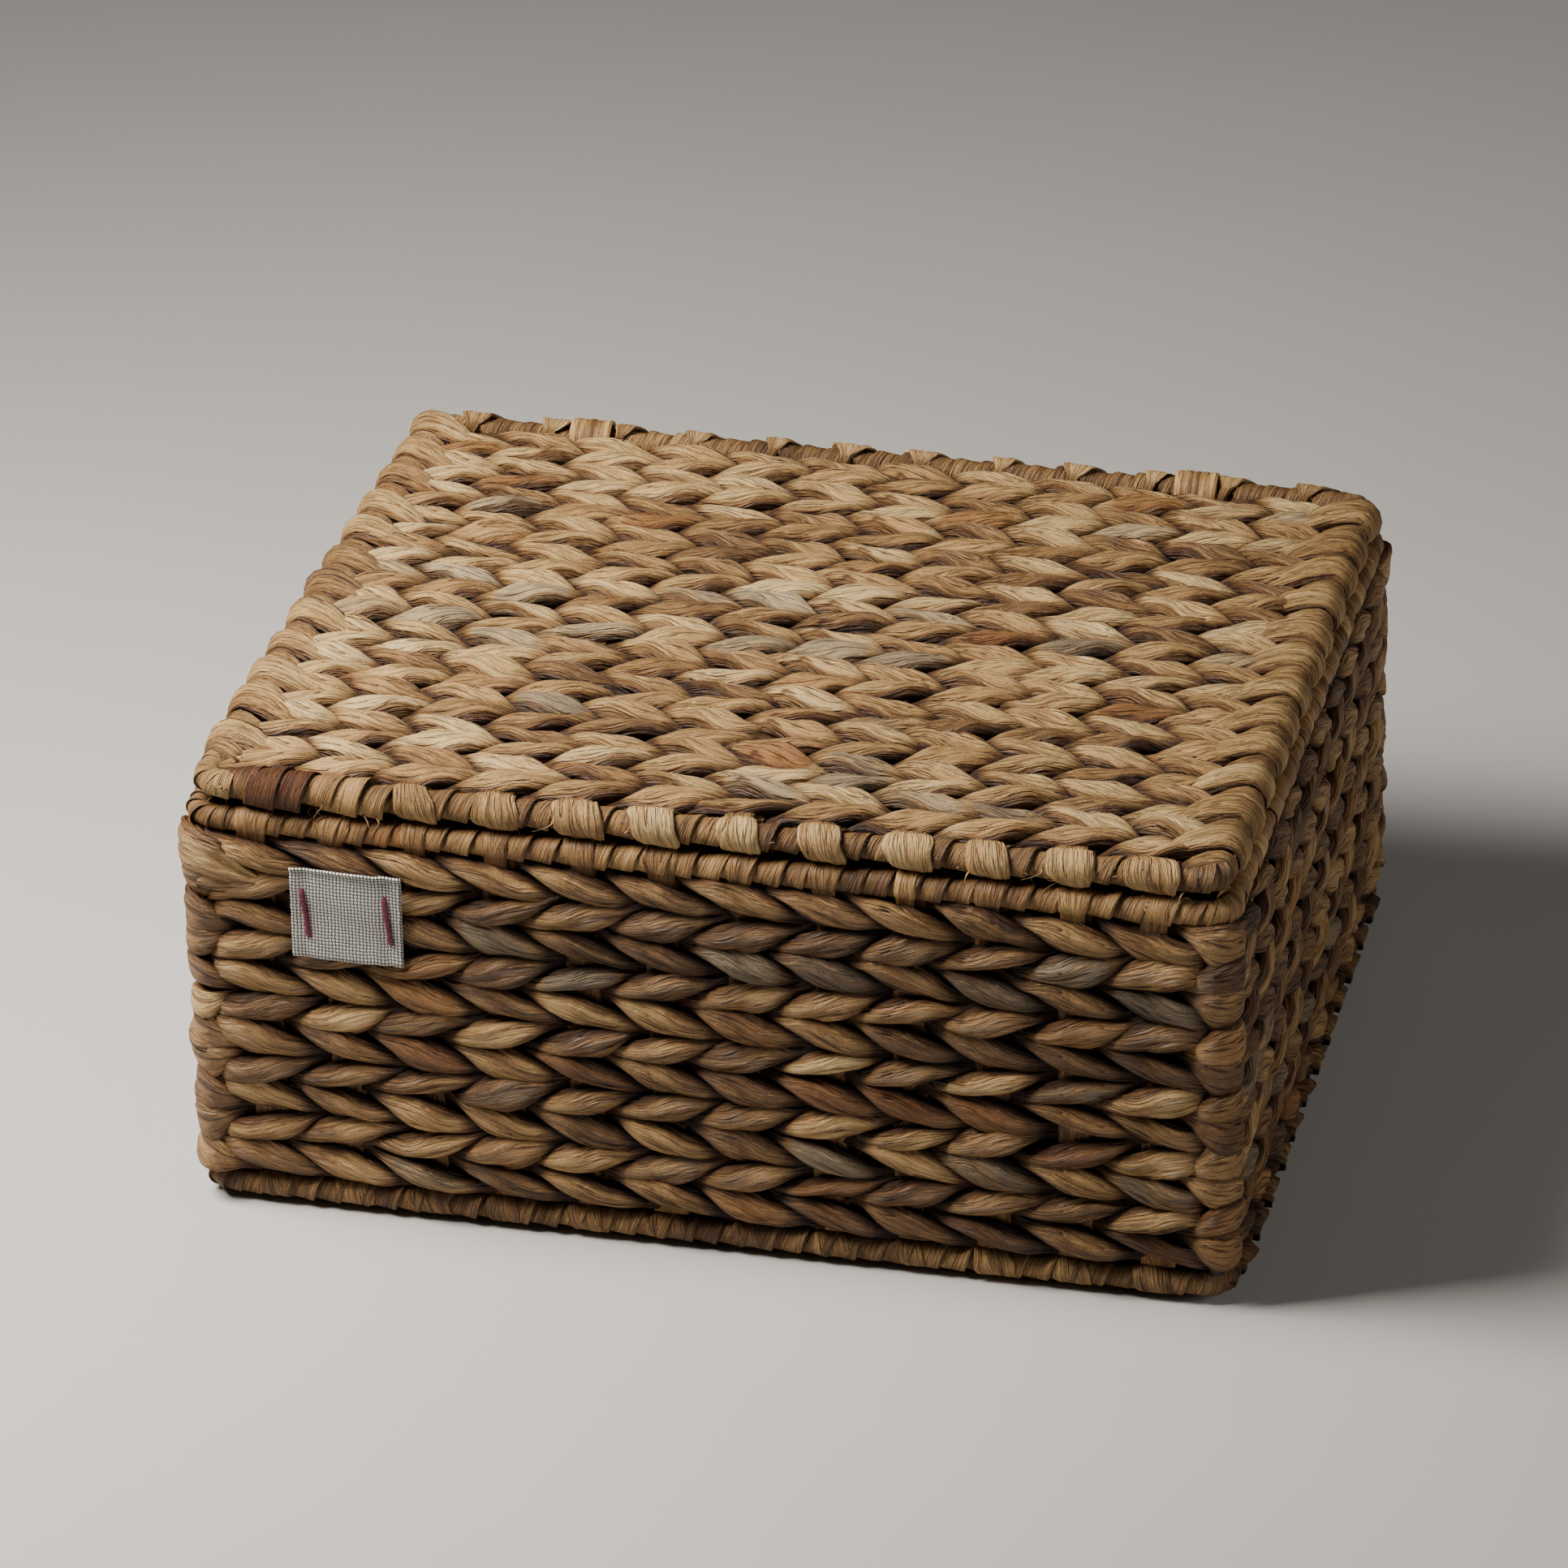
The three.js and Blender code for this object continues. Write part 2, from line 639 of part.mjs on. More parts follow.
// Hinge lashings
const lashing = hingeLashing();
place(group, 'hinge_lashing_left', lashing, wrapFibre, rimZ, rimHalfY, -lashingX);
place(group, 'hinge_lashing_right', lashing, wrapFibre, rimZ, rimHalfY, lashingX);

// Label on the front wall, hanging slightly askew
const label = new THREE.Group();
label.position.set(
  labelFromLeft - boxWidth / 2,
  -boxDepth / 2 - stitchBulge - clearance,
  lidZ + halfWeave - labelBelowTop,
);
label.rotation.y = labelTilt;
place(label, 'label_patch', labelPatch(), cotton);
const stitch = threadStitch();
place(label, 'label_stitch_left', stitch, thread, 0, 0, -threadX);
place(label, 'label_stitch_right', stitch, thread, 0, 0, threadX);
group.add(label);

export default group;
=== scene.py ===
"""Water hyacinth basket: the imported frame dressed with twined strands, stakes, wound strips and a sewn label."""

import logging
import math
from dataclasses import dataclass, field
from enum import Enum
from typing import Callable

import bpy
import numpy as np
from mathutils import Matrix, Vector


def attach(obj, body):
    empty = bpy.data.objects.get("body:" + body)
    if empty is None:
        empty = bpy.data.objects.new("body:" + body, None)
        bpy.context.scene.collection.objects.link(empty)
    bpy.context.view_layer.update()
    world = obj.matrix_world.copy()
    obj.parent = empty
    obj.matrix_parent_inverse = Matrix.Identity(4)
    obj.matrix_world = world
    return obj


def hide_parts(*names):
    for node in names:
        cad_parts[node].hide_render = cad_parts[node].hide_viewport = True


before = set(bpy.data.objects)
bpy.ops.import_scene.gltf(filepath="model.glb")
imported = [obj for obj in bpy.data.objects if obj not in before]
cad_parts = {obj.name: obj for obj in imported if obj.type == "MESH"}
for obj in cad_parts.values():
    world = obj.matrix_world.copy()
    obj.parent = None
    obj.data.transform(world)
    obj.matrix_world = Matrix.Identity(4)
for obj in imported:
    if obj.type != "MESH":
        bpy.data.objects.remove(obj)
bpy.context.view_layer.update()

MM = 0.001
LOG = logging.getLogger("basket")
Array = np.ndarray
Amount = float | np.ndarray
Node = bpy.types.Node
Socket = bpy.types.NodeSocket
Tree = bpy.types.NodeTree
Material = bpy.types.Material
Piece = bpy.types.Object
Line = Callable[[Array], tuple[Array, Array, Array, float]]
Look = Callable[[Array, Array, Array], tuple[Array, Array]]
RIGHT, BACK, UP = np.eye(3)
SIDES = ("front", "right", "back", "left")
CORNERS = ("front_right", "back_right", "back_left", "front_left")
APART = 9000.0


class Lean(Enum):
    """Which way the stitches of a course run, seen from outside."""

    RISING = 1
    FALLING = -1


class Grain(Enum):
    """Which axes a flat strip's fibres read, the one that they follow first."""

    ALONG_Y = (1, 0, 2)
    ALONG_Z = (2, 0, 1)


@dataclass(frozen=True)
class BasketSizes:
    """The frame's sizes in millimetres, as in the part's source, and its counts."""

    width: float = 330.0
    depth: float = 270.0
    half_weave: float = 6.0
    corner_radius: float = 12.0
    course_count: int = 11
    course_pitch: float = 10.6
    wall_bottom: float = 12.3
    rim_z: float = 133.703
    lid_z: float = 144.507
    base_z: float = 6.0
    bend_radius: float = 6.0
    row_count: int = 24
    lid_row_pitch: float = 10.16
    base_row_pitch: float = 10.225
    lid_front: float = -121.2
    base_front: float = -122.7
    lid_wire_x: float = 156.5
    lid_wire_front: float = -127.5
    ring_x: float = 159.0
    ring_y: float = 129.0
    lashing_x: float = 101.54
    stake_count: int = 12
    stake_pitch: float = 25.385
    stake_thick: float = 2.2
    post_radius: float = 2.5
    post_length: float = 122.1
    post_z: float = 69.85

    def stake_x(self, number: Amount) -> Amount:
        """Where a stake of the lid or floor stands, counted from 1 at the left."""
        return (number - (self.stake_count + 1) / 2) * self.stake_pitch


SIZES = BasketSizes()


class Wander:
    """Smooth random values along a line, the same in every run."""

    count = 8192
    lane_step = 257

    def __init__(self, seed: int) -> None:
        """Fills the table of values that the seed picks."""
        self.table = np.random.default_rng(seed).uniform(-1, 1, self.count)

    def at(self, x: Array, lane: Array | int = 0) -> Array:
        """Reads the line.

        Args:
            x: Places on the line, one random value per whole number.
            lane: Picks another stretch of the table.

        Returns:
            Values from -1 to 1.
        """
        cell = np.floor(x).astype(int)
        share = x - cell
        share = share * share * (3 - 2 * share)
        low = self.table[(cell + lane * self.lane_step) % self.count]
        high = self.table[(cell + 1 + lane * self.lane_step) % self.count]
        return low + (high - low) * share

    def around(self, x: Array, sides: int, apart: float, lane: int = 0, first: int = 0) -> Array:
        """Reads the line at each place for each side of a sweep, neighbouring sides apart from each other."""
        lanes = np.arange(sides)[None] + first
        return self.at(x[:, None] + lanes * apart, lanes + lane)


def unit(vectors: Array) -> Array:
    """Vectors of length 1, along the last axis."""
    return vectors / np.linalg.norm(vectors, axis=-1, keepdims=True)


def heading(points: Array) -> Array:
    """The direction of travel at each point of a line."""
    return unit(np.gradient(points, axis=0))


def run_length(points: Array) -> Array:
    """The distance along a line at each of its points."""
    return np.concatenate([[0], np.cumsum(np.linalg.norm(np.diff(points, axis=0), axis=1))])


def smooth_step(x: Array, low: float, high: float) -> Array:
    """0 below low, 1 above high, smooth between."""
    share = np.clip((x - low) / (high - low), 0, 1)
    return share * share * (3 - 2 * share)


def stretch(x: Array, low: float, full: float, last: float, high: float) -> Array:
    """1 from full to last, falling smoothly to 0 at low and high."""
    return smooth_step(x, low, full) * smooth_step(x, high, last)


@dataclass
class Sweep:
    """A strand or strip to be swept: one row per ring, in millimetres, or one value for all."""

    centres: Array
    wide: Array
    thin: Array
    half_wide: Amount
    half_thin: Amount
    tone: Amount
    hue: Amount
    # The next value darkens the colour as painted shade where a strand dives, tucks in or meets its neighbours;
    # windings and lashings take a small even amount.
    painted_shade: Amount
    along: Array
    folds: Amount = 0.0
    sides: int = 20
    fullness: Amount = 1.0
    cross: tuple[float, float] = (4.6, 3.2)
    rings_per_tile: int = 9
    middle: Array | None = None
    out: Array | None = None


class SweptMesh:
    """Collects swept strands and makes them one mesh object."""

    thin_fold = 0.7
    tile_margin = 0.03
    # How near the weave's middle plane and how near a section's edge a point must be to take painted shade, and how
    # dark the edges get.
    gap_shade_depths = (5.9, 2.5)
    edge_shade_shares = (0.62, 0.98)
    edge_painted_shade = 0.75

    def __init__(self, name: str) -> None:
        """Starts an empty mesh.

        Args:
            name: The piece's name.
        """
        self.name = name
        self.points: list[Array] = []
        self.places: list[Array] = []
        self.looks: list[Array] = []
        self.loops: list[Array] = []
        self.counts: list[Array] = []
        self.uvs: list[Array] = []
        self.tiles: list[Array] = []
        self.point_count = 0
        self.tile_count = 0

    def add(self, sweep: Sweep) -> None:
        """Adds one closed sweep with flat ends.

        Args:
            sweep: The strand or strip.
        """
        n, m = len(sweep.centres), sweep.sides
        turn = np.arange(m) * 2 * np.pi / m
        circle = np.stack([np.cos(turn), np.sin(turn)], -1)
        fullness = np.reshape(sweep.fullness, (-1, 1))
        across, through = (np.sign(part) * np.abs(part) ** fullness for part in circle.T)
        wide, thin = (np.broadcast_to(way, (n, 3)) for way in (sweep.wide, sweep.thin))
        half_wide, half_thin, tone, hue, painted_shade = (
            np.broadcast_to(value, n)[:, None]
            for value in (sweep.half_wide, sweep.half_thin, sweep.tone, sweep.hue, sweep.painted_shade)
        )
        reach_wide = (half_wide + sweep.folds) * across
        reach_thin = (half_thin + sweep.folds * self.thin_fold) * through
        points = sweep.centres[:, None] + wide[:, None] * reach_wide[..., None] + thin[:, None] * reach_thin[..., None]
        place, look = np.empty((n, m, 3)), np.ones((n, m, 4))
        place[..., 0] = sweep.along[:, None]
        place[..., 1], place[..., 2] = sweep.cross[0] * across, sweep.cross[1] * through
        look[..., 0], look[..., 1], look[..., 2] = tone, hue, painted_shade
        # Painted shade: points deep between neighbouring strands, near the weave's middle plane, and the edges of each
        # section are darkened, standing in for shadow in the gaps.
        if sweep.middle is not None:
            out = np.broadcast_to(sweep.out, (n, 3))[:, None]
            stand = np.abs(np.sum((points - sweep.middle[:, None]) * out, axis=-1))
            edge = self.edge_painted_shade * smooth_step(np.abs(across), *self.edge_shade_shares)
            look[..., 2] = np.maximum(look[..., 2], np.maximum(smooth_step(stand, *self.gap_shade_depths), edge))
        ring, side = np.meshgrid(np.arange(n - 1), np.arange(m), indexing="ij")
        after = (side + 1) % m
        quads = np.stack([ring * m + side, ring * m + after, (ring + 1) * m + after, (ring + 1) * m + side], -1)
        ends = [np.arange(m)[::-1], (n - 1) * m + np.arange(m)]
        tile = ring // sweep.rings_per_tile
        local = (ring - tile * sweep.rings_per_tile) / sweep.rings_per_tile
        step = 1 / sweep.rings_per_tile
        along_uv = np.stack([local, local, local + step, local + step], -1)
        uv = np.stack([along_uv, np.stack([side, side + 1, side + 1, side], -1) / m], -1)
        if np.sum(np.cross(wide, thin) * np.gradient(sweep.centres, axis=0)) <= 0:
            quads, uv, ends = quads[..., ::-1], uv[..., ::-1, :], [end[::-1] for end in ends]
        cap = 0.5 + 0.45 * circle
        last = int(tile.max()) + 1
        tiles = [np.repeat(tile.reshape(-1), 4), np.full(m, last), np.full(m, last + 1)]
        self.points.append(points.reshape(-1, 3))
        self.places.append(place.reshape(-1, 3))
        self.looks.append(look.reshape(-1, 4))
        self.loops.append(np.concatenate([quads.reshape(-1), *ends]) + self.point_count)
        self.counts.append(np.concatenate([np.full(quads.size // 4, 4), [m, m]]))
        self.uvs.append(np.concatenate([uv.reshape(-1, 2), cap, cap]))
        self.tiles.append(np.concatenate(tiles) + self.tile_count)
        self.point_count += n * m
        self.tile_count += last + 2

    def piece(self, material: Material) -> Piece:
        """Makes the object.

        Args:
            material: What it wears.

        Returns:
            The object, at the origin, with its place in its mesh.
        """
        mesh = bpy.data.meshes.new(self.name)
        points, loops, counts = np.concatenate(self.points), np.concatenate(self.loops), np.concatenate(self.counts)
        mesh.vertices.add(len(points))
        mesh.vertices.foreach_set("co", (points * MM).astype(np.float32).ravel())
        mesh.loops.add(len(loops))
        mesh.loops.foreach_set("vertex_index", loops.astype(np.int32))
        mesh.polygons.add(len(counts))
        mesh.polygons.foreach_set("loop_start", np.concatenate([[0], np.cumsum(counts)[:-1]]).astype(np.int32))
        mesh.polygons.foreach_set("use_smooth", np.ones(len(counts), bool))
        for name, kind, word, rows in (
            ("fibre_place", "FLOAT_VECTOR", "vector", self.places),
            ("strand_look", "FLOAT_COLOR", "color", self.looks),
        ):
            values = np.concatenate(rows).astype(np.float32).ravel()
            mesh.attributes.new(name, kind, "POINT").data.foreach_set(word, values)
        columns = math.ceil(math.sqrt(self.tile_count))
        tile, uv = np.concatenate(self.tiles), np.concatenate(self.uvs)
        corner = np.stack([tile % columns, tile // columns], -1) + self.tile_margin
        spread = (corner + (1 - 2 * self.tile_margin) * uv) / columns
        mesh.uv_layers.new(name="OFBake").data.foreach_set("uv", spread.astype(np.float32).ravel())
        mesh.update()
        mesh.validate()
        mesh.materials.append(material)
        made = bpy.data.objects.new(self.name, mesh)
        bpy.context.scene.collection.objects.link(made)
        return made


class NodeSheet:
    """A node tree with short calls for adding and joining nodes."""

    def __init__(self, tree: Tree) -> None:
        """Keeps the tree."""
        self.tree = tree

    def feed(self, node: Node, inputs: dict[str | int, object]) -> None:
        """Links sockets to a node's inputs, or sets values on them.

        Args:
            node: The node.
            inputs: Sockets or values, by the input's name or number.
        """
        for name, value in inputs.items():
            if isinstance(value, Socket):
                self.tree.links.new(value, node.inputs[name])
            else:
                node.inputs[name].default_value = value

    def add(self, kind: str, inputs: dict[str | int, object] | None = None, **settings: object) -> Node:
        """Adds a node.

        Args:
            kind: Its type name, without the ShaderNode before it.
            inputs: Sockets to link or values to set, by name or number.
            settings: The node's own properties.

        Returns:
            The node.
        """
        node = self.tree.nodes.new(kind if kind.startswith("Node") else "ShaderNode" + kind)
        for name, value in settings.items():
            setattr(node, name, value)
        self.feed(node, inputs or {})
        return node

    def shade(self, inputs: dict[str | int, object], height: Socket, relief: float, strength: float = 1.0) -> None:
        """Feeds the material's shader, with a height as relief that is this deep in metres."""
        bump = self.add("Bump", {"Height": height, "Strength": strength, "Distance": relief})
        self.feed(self.tree.nodes["Principled BSDF"], {**inputs, "Normal": bump.outputs[0]})

    def maths(self, operation: str, *values: object) -> Socket:
        """The output of a Math node with these inputs."""
        return self.add("Math", dict(enumerate(values)), operation=operation).outputs[0]

    def plus(self, first: object, second: object) -> Socket:
        """The sum of two values."""
        return self.maths("ADD", first, second)

    def times(self, first: object, second: object) -> Socket:
        """One value times another."""
        return self.maths("MULTIPLY", first, second)

    def swayed(self, value: object, by: Socket, share: float) -> Socket:
        """A value moved by a share of how far another is from a half."""
        return self.plus(value, self.times(self.maths("SUBTRACT", by, 0.5), share))

    def between(self, value: object, low: float, high: float, to_low: float = 0.0, to_high: float = 1.0) -> Socket:
        """The value taken smoothly from one range to another."""
        inputs = {0: value, 1: low, 2: high, 3: to_low, 4: to_high}
        return self.add("MapRange", inputs, interpolation_type="SMOOTHSTEP").outputs[0]

    def mixed(self, share: object, first: object, second: object, blend: str = "MIX") -> Socket:
        """The colour between two colours."""
        return self.add("Mix", {0: share, 6: first, 7: second}, data_type="RGBA", blend_type=blend).outputs[2]

    def noise(
        self,
        place: Socket,
        scale: float | tuple[float, float, float],
        detail: float = 2.0,
        rough: float = 0.5,
        warp: float = 0.0,
    ) -> Socket:
        """The value of a noise texture.

        Args:
            place: Where it is read.
            scale: Its scale, for all axes or for each.
            detail: Its detail.
            rough: Its roughness.
            warp: Its distortion.

        Returns:
            The value.
        """
        if isinstance(scale, tuple):
            place, scale = self.stretched(place, scale), 1.0
        inputs = {"Vector": place, "Scale": scale, "Detail": detail, "Roughness": rough, "Distortion": warp}
        return self.add("TexNoise", inputs).outputs["Fac"]

    def stretched(self, place: Socket, shares: tuple[float, float, float]) -> Socket:
        """A place with each axis times its share."""
        return self.add("VectorMath", {0: place, 1: shares}, operation="MULTIPLY").outputs[0]


def new_group(name: str, takes: dict[str, str], gives: dict[str, str]) -> tuple[NodeSheet, Node, Node]:
    """Starts a shader node group.

    Args:
        name: The group's name.
        takes: Input sockets and their kinds.
        gives: Output sockets and their kinds.

    Returns:
        Its sheet, input node and output node.
    """
    tree = bpy.data.node_groups.new(name, "ShaderNodeTree")
    for way, sockets in (("INPUT", takes), ("OUTPUT", gives)):
        for socket, kind in sockets.items():
            tree.interface.new_socket(socket, in_out=way, socket_type="NodeSocket" + kind)
    sheet = NodeSheet(tree)
    return sheet, sheet.add("NodeGroupInput"), sheet.add("NodeGroupOutput")


def new_material(name: str) -> tuple[Material, NodeSheet]:
    """Starts a material.

    Args:
        name: Its name.

    Returns:
        The material and its node sheet.
    """
    material = bpy.data.materials.new(name)
    material.use_nodes = True
    return material, NodeSheet(material.node_tree)


# Dried hyacinth from its darkest to its lightest tone: straw with its stops, then greyer and redder stems.
STRAW = (
    (0.00, (0.070, 0.032, 0.012, 1)),
    (0.28, (0.165, 0.082, 0.028, 1)),
    (0.52, (0.340, 0.190, 0.068, 1)),
    (0.76, (0.510, 0.320, 0.126, 1)),
    (1.00, (0.650, 0.465, 0.222, 1)),
)
SAGE = ((0.088, 0.062, 0.038, 1), (0.440, 0.328, 0.190, 1))
RUSSET = ((0.092, 0.028, 0.008, 1), (0.450, 0.215, 0.064, 1))
SPECK = (0.055, 0.030, 0.015, 1)


class StemGroups:
    """The node groups that every hyacinth finish shares."""

    def __init__(self) -> None:
        """Builds both groups."""
        self.fibre = self._fibre()
        self.colour = self._colour()

    def _fibre(self) -> Tree:
        """Builds the long fibres and creases, read at a place in millimetres whose first axis runs along the stem.

        Returns:
            The group.
        """
        gives = {"Height": "Float", "Crease": "Float", "Streak": "Float"}
        sheet, taken, given = new_group("stem_fibre", {"Place": "Vector"}, gives)
        place, plus, times = taken.outputs["Place"], sheet.plus, sheet.times
        patchy = sheet.between(sheet.noise(place, (0.05, 0.28, 0.28)), 0.46, 0.64)
        split = self._pleats(sheet, place, (0.034, 0.42, 0.42), 0.25, 0.042)
        ridge = self._pleats(sheet, place, (0.075, 0.66, 0.66), 0.3, 0.26)
        streak = sheet.noise(place, (0.070, 0.7, 0.7), 3.0, 0.6)
        fine = sheet.noise(place, (0.26, 2.7, 2.7), 3.0, 0.65)
        skin = sheet.noise(place, (1.1, 1.9, 1.9), 4.0, 0.75)
        deep = times(sheet.between(split, 0.0, 0.6, 1.0, 0.0), plus(times(patchy, 0.90), 0.08))
        shallow = times(sheet.between(ridge, 0.0, 0.45, 1.0, 0.0), plus(times(patchy, 0.22), 0.06))
        height = plus(plus(times(split, 0.45), times(ridge, 0.62)), plus(times(fine, 0.32), times(skin, 0.22)))
        tone = plus(times(streak, 0.50), plus(times(fine, 0.16), times(skin, 0.42)))
        sheet.feed(given, {"Height": height, "Crease": sheet.maths("MAXIMUM", deep, shallow), "Streak": tone})
        return sheet.tree

    @staticmethod
    def _pleats(
        sheet: NodeSheet, place: Socket, shares: tuple[float, float, float], warp: float, valley: float
    ) -> Socket:
        """Long ridges, 1 on top and 0 in the valleys between them, as wide as valley says."""
        waves = sheet.noise(place, shares, 2.0, 0.5, warp)
        return sheet.between(sheet.maths("ABSOLUTE", sheet.maths("SUBTRACT", waves, 0.5)), 0.0, valley)

    def _colour(self) -> Tree:
        """Builds the colour of dried stem from its tone, hue and streaks, darkened as painted shade in its creases and
        by its shade value.

        Returns:
            The group.
        """
        takes = {"Place": "Vector"} | {name: "Float" for name in ("Tone", "Hue", "PaintedShade", "Streak", "Crease")}
        sheet, taken, given = new_group("stem_colour", takes, {"Color": "Color", "Roughness": "Float"})
        socket = taken.outputs
        cloud = sheet.noise(socket["Place"], (0.07, 0.22, 0.22), 3.0, 0.6)
        tone = sheet.swayed(sheet.swayed(socket["Tone"], socket["Streak"], 1.25), cloud, 0.8)
        straw = sheet.add("ValToRGB", {"Fac": tone})
        stops = straw.color_ramp.elements
        for position, _ in STRAW[1:-1]:
            stops.new(position)
        for stop, (position, colour) in zip(stops, STRAW):
            stop.position, stop.color = position, colour
        hue = sheet.swayed(socket["Hue"], cloud, 0.5)
        colour = sheet.mixed(sheet.between(hue, 0.22, 0.02), straw.outputs[0], sheet.mixed(tone, *SAGE))
        colour = sheet.mixed(sheet.between(hue, 0.72, 1.06), colour, sheet.mixed(tone, *RUSSET))
        speck = sheet.noise(socket["Place"], (0.35, 0.8, 0.8), 3.0, 0.7)
        colour = sheet.mixed(sheet.between(speck, 0.66, 0.76, 0.0, 0.55), colour, SPECK)
        # Painted shade: the creases and the strand's shade value darken the colour, and the darks are kept warmer.
        crease_shade = sheet.between(socket["Crease"], 0.0, 1.0, 1.0, 0.22)
        shade = sheet.times(crease_shade, sheet.between(socket["PaintedShade"], 0.0, 1.0, 1.0, 0.12))
        warm_shade = {0: sheet.maths("POWER", shade, 0.8), 1: shade, 2: sheet.maths("POWER", shade, 1.2)}
        colour = sheet.mixed(1.0, colour, sheet.add("CombineColor", warm_shade).outputs[0], "MULTIPLY")
        rough = sheet.between(socket["Streak"], 0.35, 0.75, 0.62, 0.42)
        sheet.feed(given, {"Color": colour, "Roughness": sheet.plus(rough, sheet.times(socket["Crease"], 0.2))})
        return sheet.tree

    def dress(self, sheet: NodeSheet, place: Socket, looks: dict[str, object], relief_mm: float, **more: float) -> None:
        """Feeds a material's shader with dried stem.

        Args:
            sheet: The material's nodes.
            place: Where the stem is read, in millimetres, its first axis along the stem.
            looks: Tone, Hue and the painted shade value, as sockets or values.
            relief_mm: The depth of its relief.
            more: Other values of the shader, by name with _ for a space.
        """
        fibre = sheet.add("Group", {"Place": place}, node_tree=self.fibre).outputs
        takes = {"Place": place, "Streak": fibre["Streak"], "Crease": fibre["Crease"], **looks}
        colour = sheet.add("Group", takes, node_tree=self.colour).outputs
        inputs = {"Base Color": colour["Color"], "Roughness": colour["Roughness"]}
        inputs |= {name.replace("_", " "): value for name, value in more.items()}
        sheet.shade(inputs, fibre["Height"], relief_mm * MM)


@dataclass(frozen=True)
class StrandFinish:
    """Dried hyacinth on swept strands, which carry their own place, tone, hue and painted shade."""

    name: str
    groups: StemGroups
    relief_mm: float = 1.9
    specular: float = 0.42

    def material(self) -> Material:
        """Builds the material.

        Returns:
            The material.
        """
        material, sheet = new_material(self.name)
        place = sheet.add("Attribute", attribute_name="fibre_place").outputs["Vector"]
        colour = sheet.add("Attribute", attribute_name="strand_look").outputs["Color"]
        looks = dict(zip(("Tone", "Hue", "PaintedShade"), sheet.add("SeparateColor", {0: colour}).outputs))
        self.groups.dress(sheet, place, looks, self.relief_mm, Specular_IOR_Level=self.specular)
        return material


@dataclass(frozen=True)
class StripFinish:
    """Flat fibrous strip of the stakes, patterned from where it is."""

    name: str
    groups: StemGroups
    grain: Grain
    tone: float = 0.34
    hue: float = 0.78
    relief_mm: float = 0.8

    def material(self) -> Material:
        """Builds the material.

        Returns:
            The material.
        """
        material, sheet = new_material(self.name)
        where = sheet.stretched(sheet.add("TexCoord").outputs["Object"], (1000, 1000, 1000))
        axes = sheet.add("SeparateXYZ", {0: where}).outputs
        place = sheet.add("CombineXYZ", {slot: axes[axis] for slot, axis in enumerate(self.grain.value)}).outputs[0]
        # The stakes take no painted shade.
        looks = {"Tone": self.tone, "Hue": self.hue, "PaintedShade": 0.0}
        self.groups.dress(sheet, place, looks, self.relief_mm)
        return material


@dataclass(frozen=True)
class WireFinish:
    """Dull, nearly black steel wire with patches of rust."""

    steel: tuple[float, ...] = (0.045, 0.042, 0.040, 1)
    rust: tuple[float, ...] = (0.110, 0.050, 0.025, 1)
    relief: float = 0.0002

    def material(self) -> Material:
        """Builds the material.

        Returns:
            The material.
        """
        material, sheet = new_material("steel_wire")
        where = sheet.add("TexCoord").outputs["Object"]
        patch = sheet.between(sheet.noise(where, 90.0, 4.0, 0.65), 0.45, 0.62)
        inputs = {
            "Base Color": sheet.mixed(patch, self.steel, self.rust),
            "Roughness": sheet.between(patch, 0.0, 1.0, 0.42, 0.8),
            "Metallic": sheet.between(patch, 0.0, 1.0, 0.8, 0.1),
        }
        sheet.shade(inputs, sheet.noise(where, 900.0, 3.0, 0.6), self.relief, 0.5)
        return material


@dataclass(frozen=True)
class ClothFinish:
    """Coarse plain-woven white cotton, patterned along the label's own UV map."""

    threads_across: int = 32
    threads_down: int = 28
    # The gap colour is painted shade, dark between the threads.
    gap: tuple[float, ...] = (0.120, 0.113, 0.100, 1)
    cotton: tuple[float, ...] = (0.830, 0.815, 0.765, 1)
    relief: float = 0.0009

    def material(self) -> Material:
        """Builds the material.

        Returns:
            The material.
        """
        material, sheet = new_material("label_cotton")
        maths, plus, times = sheet.maths, sheet.plus, sheet.times
        uv = sheet.add("UVMap", uv_map="cloth").outputs[0]
        wobble = sheet.add("TexNoise", {"Vector": uv, "Scale": 6.0, "Detail": 1.0}).outputs["Color"]
        uv = sheet.add("VectorMath", {0: uv, 1: sheet.stretched(wobble, (0.02, 0.02, 0.0))}, operation="ADD").outputs[0]
        counted = sheet.stretched(uv, (self.threads_across, self.threads_down, 1.0))
        across, down = sheet.add("SeparateXYZ", {0: counted}).outputs[:2]
        warp, weft = (maths("ABSOLUTE", maths("SINE", times(axis, math.pi))) for axis in (across, down))
        parity = maths("MODULO", plus(maths("FLOOR", across), maths("FLOOR", down)), 2.0)
        over = times(parity, times(warp, plus(times(weft, 0.6), 0.4)))
        under = times(maths("SUBTRACT", 1.0, parity), times(weft, plus(times(warp, 0.6), 0.4)))
        height, fuzz = plus(over, under), sheet.noise(uv, 260.0, 3.0, 0.7)
        # Painted shade: the low places between the threads take the dark gap colour.
        shade = sheet.swayed(sheet.between(height, 0.22, 0.72), fuzz, 0.25)
        inputs = {
            "Base Color": sheet.mixed(shade, self.gap, self.cotton),
            "Roughness": sheet.between(height, 0.0, 1.0, 0.95, 0.8),
        }
        sheet.shade(inputs, plus(height, times(fuzz, 0.25)), self.relief)
        return material


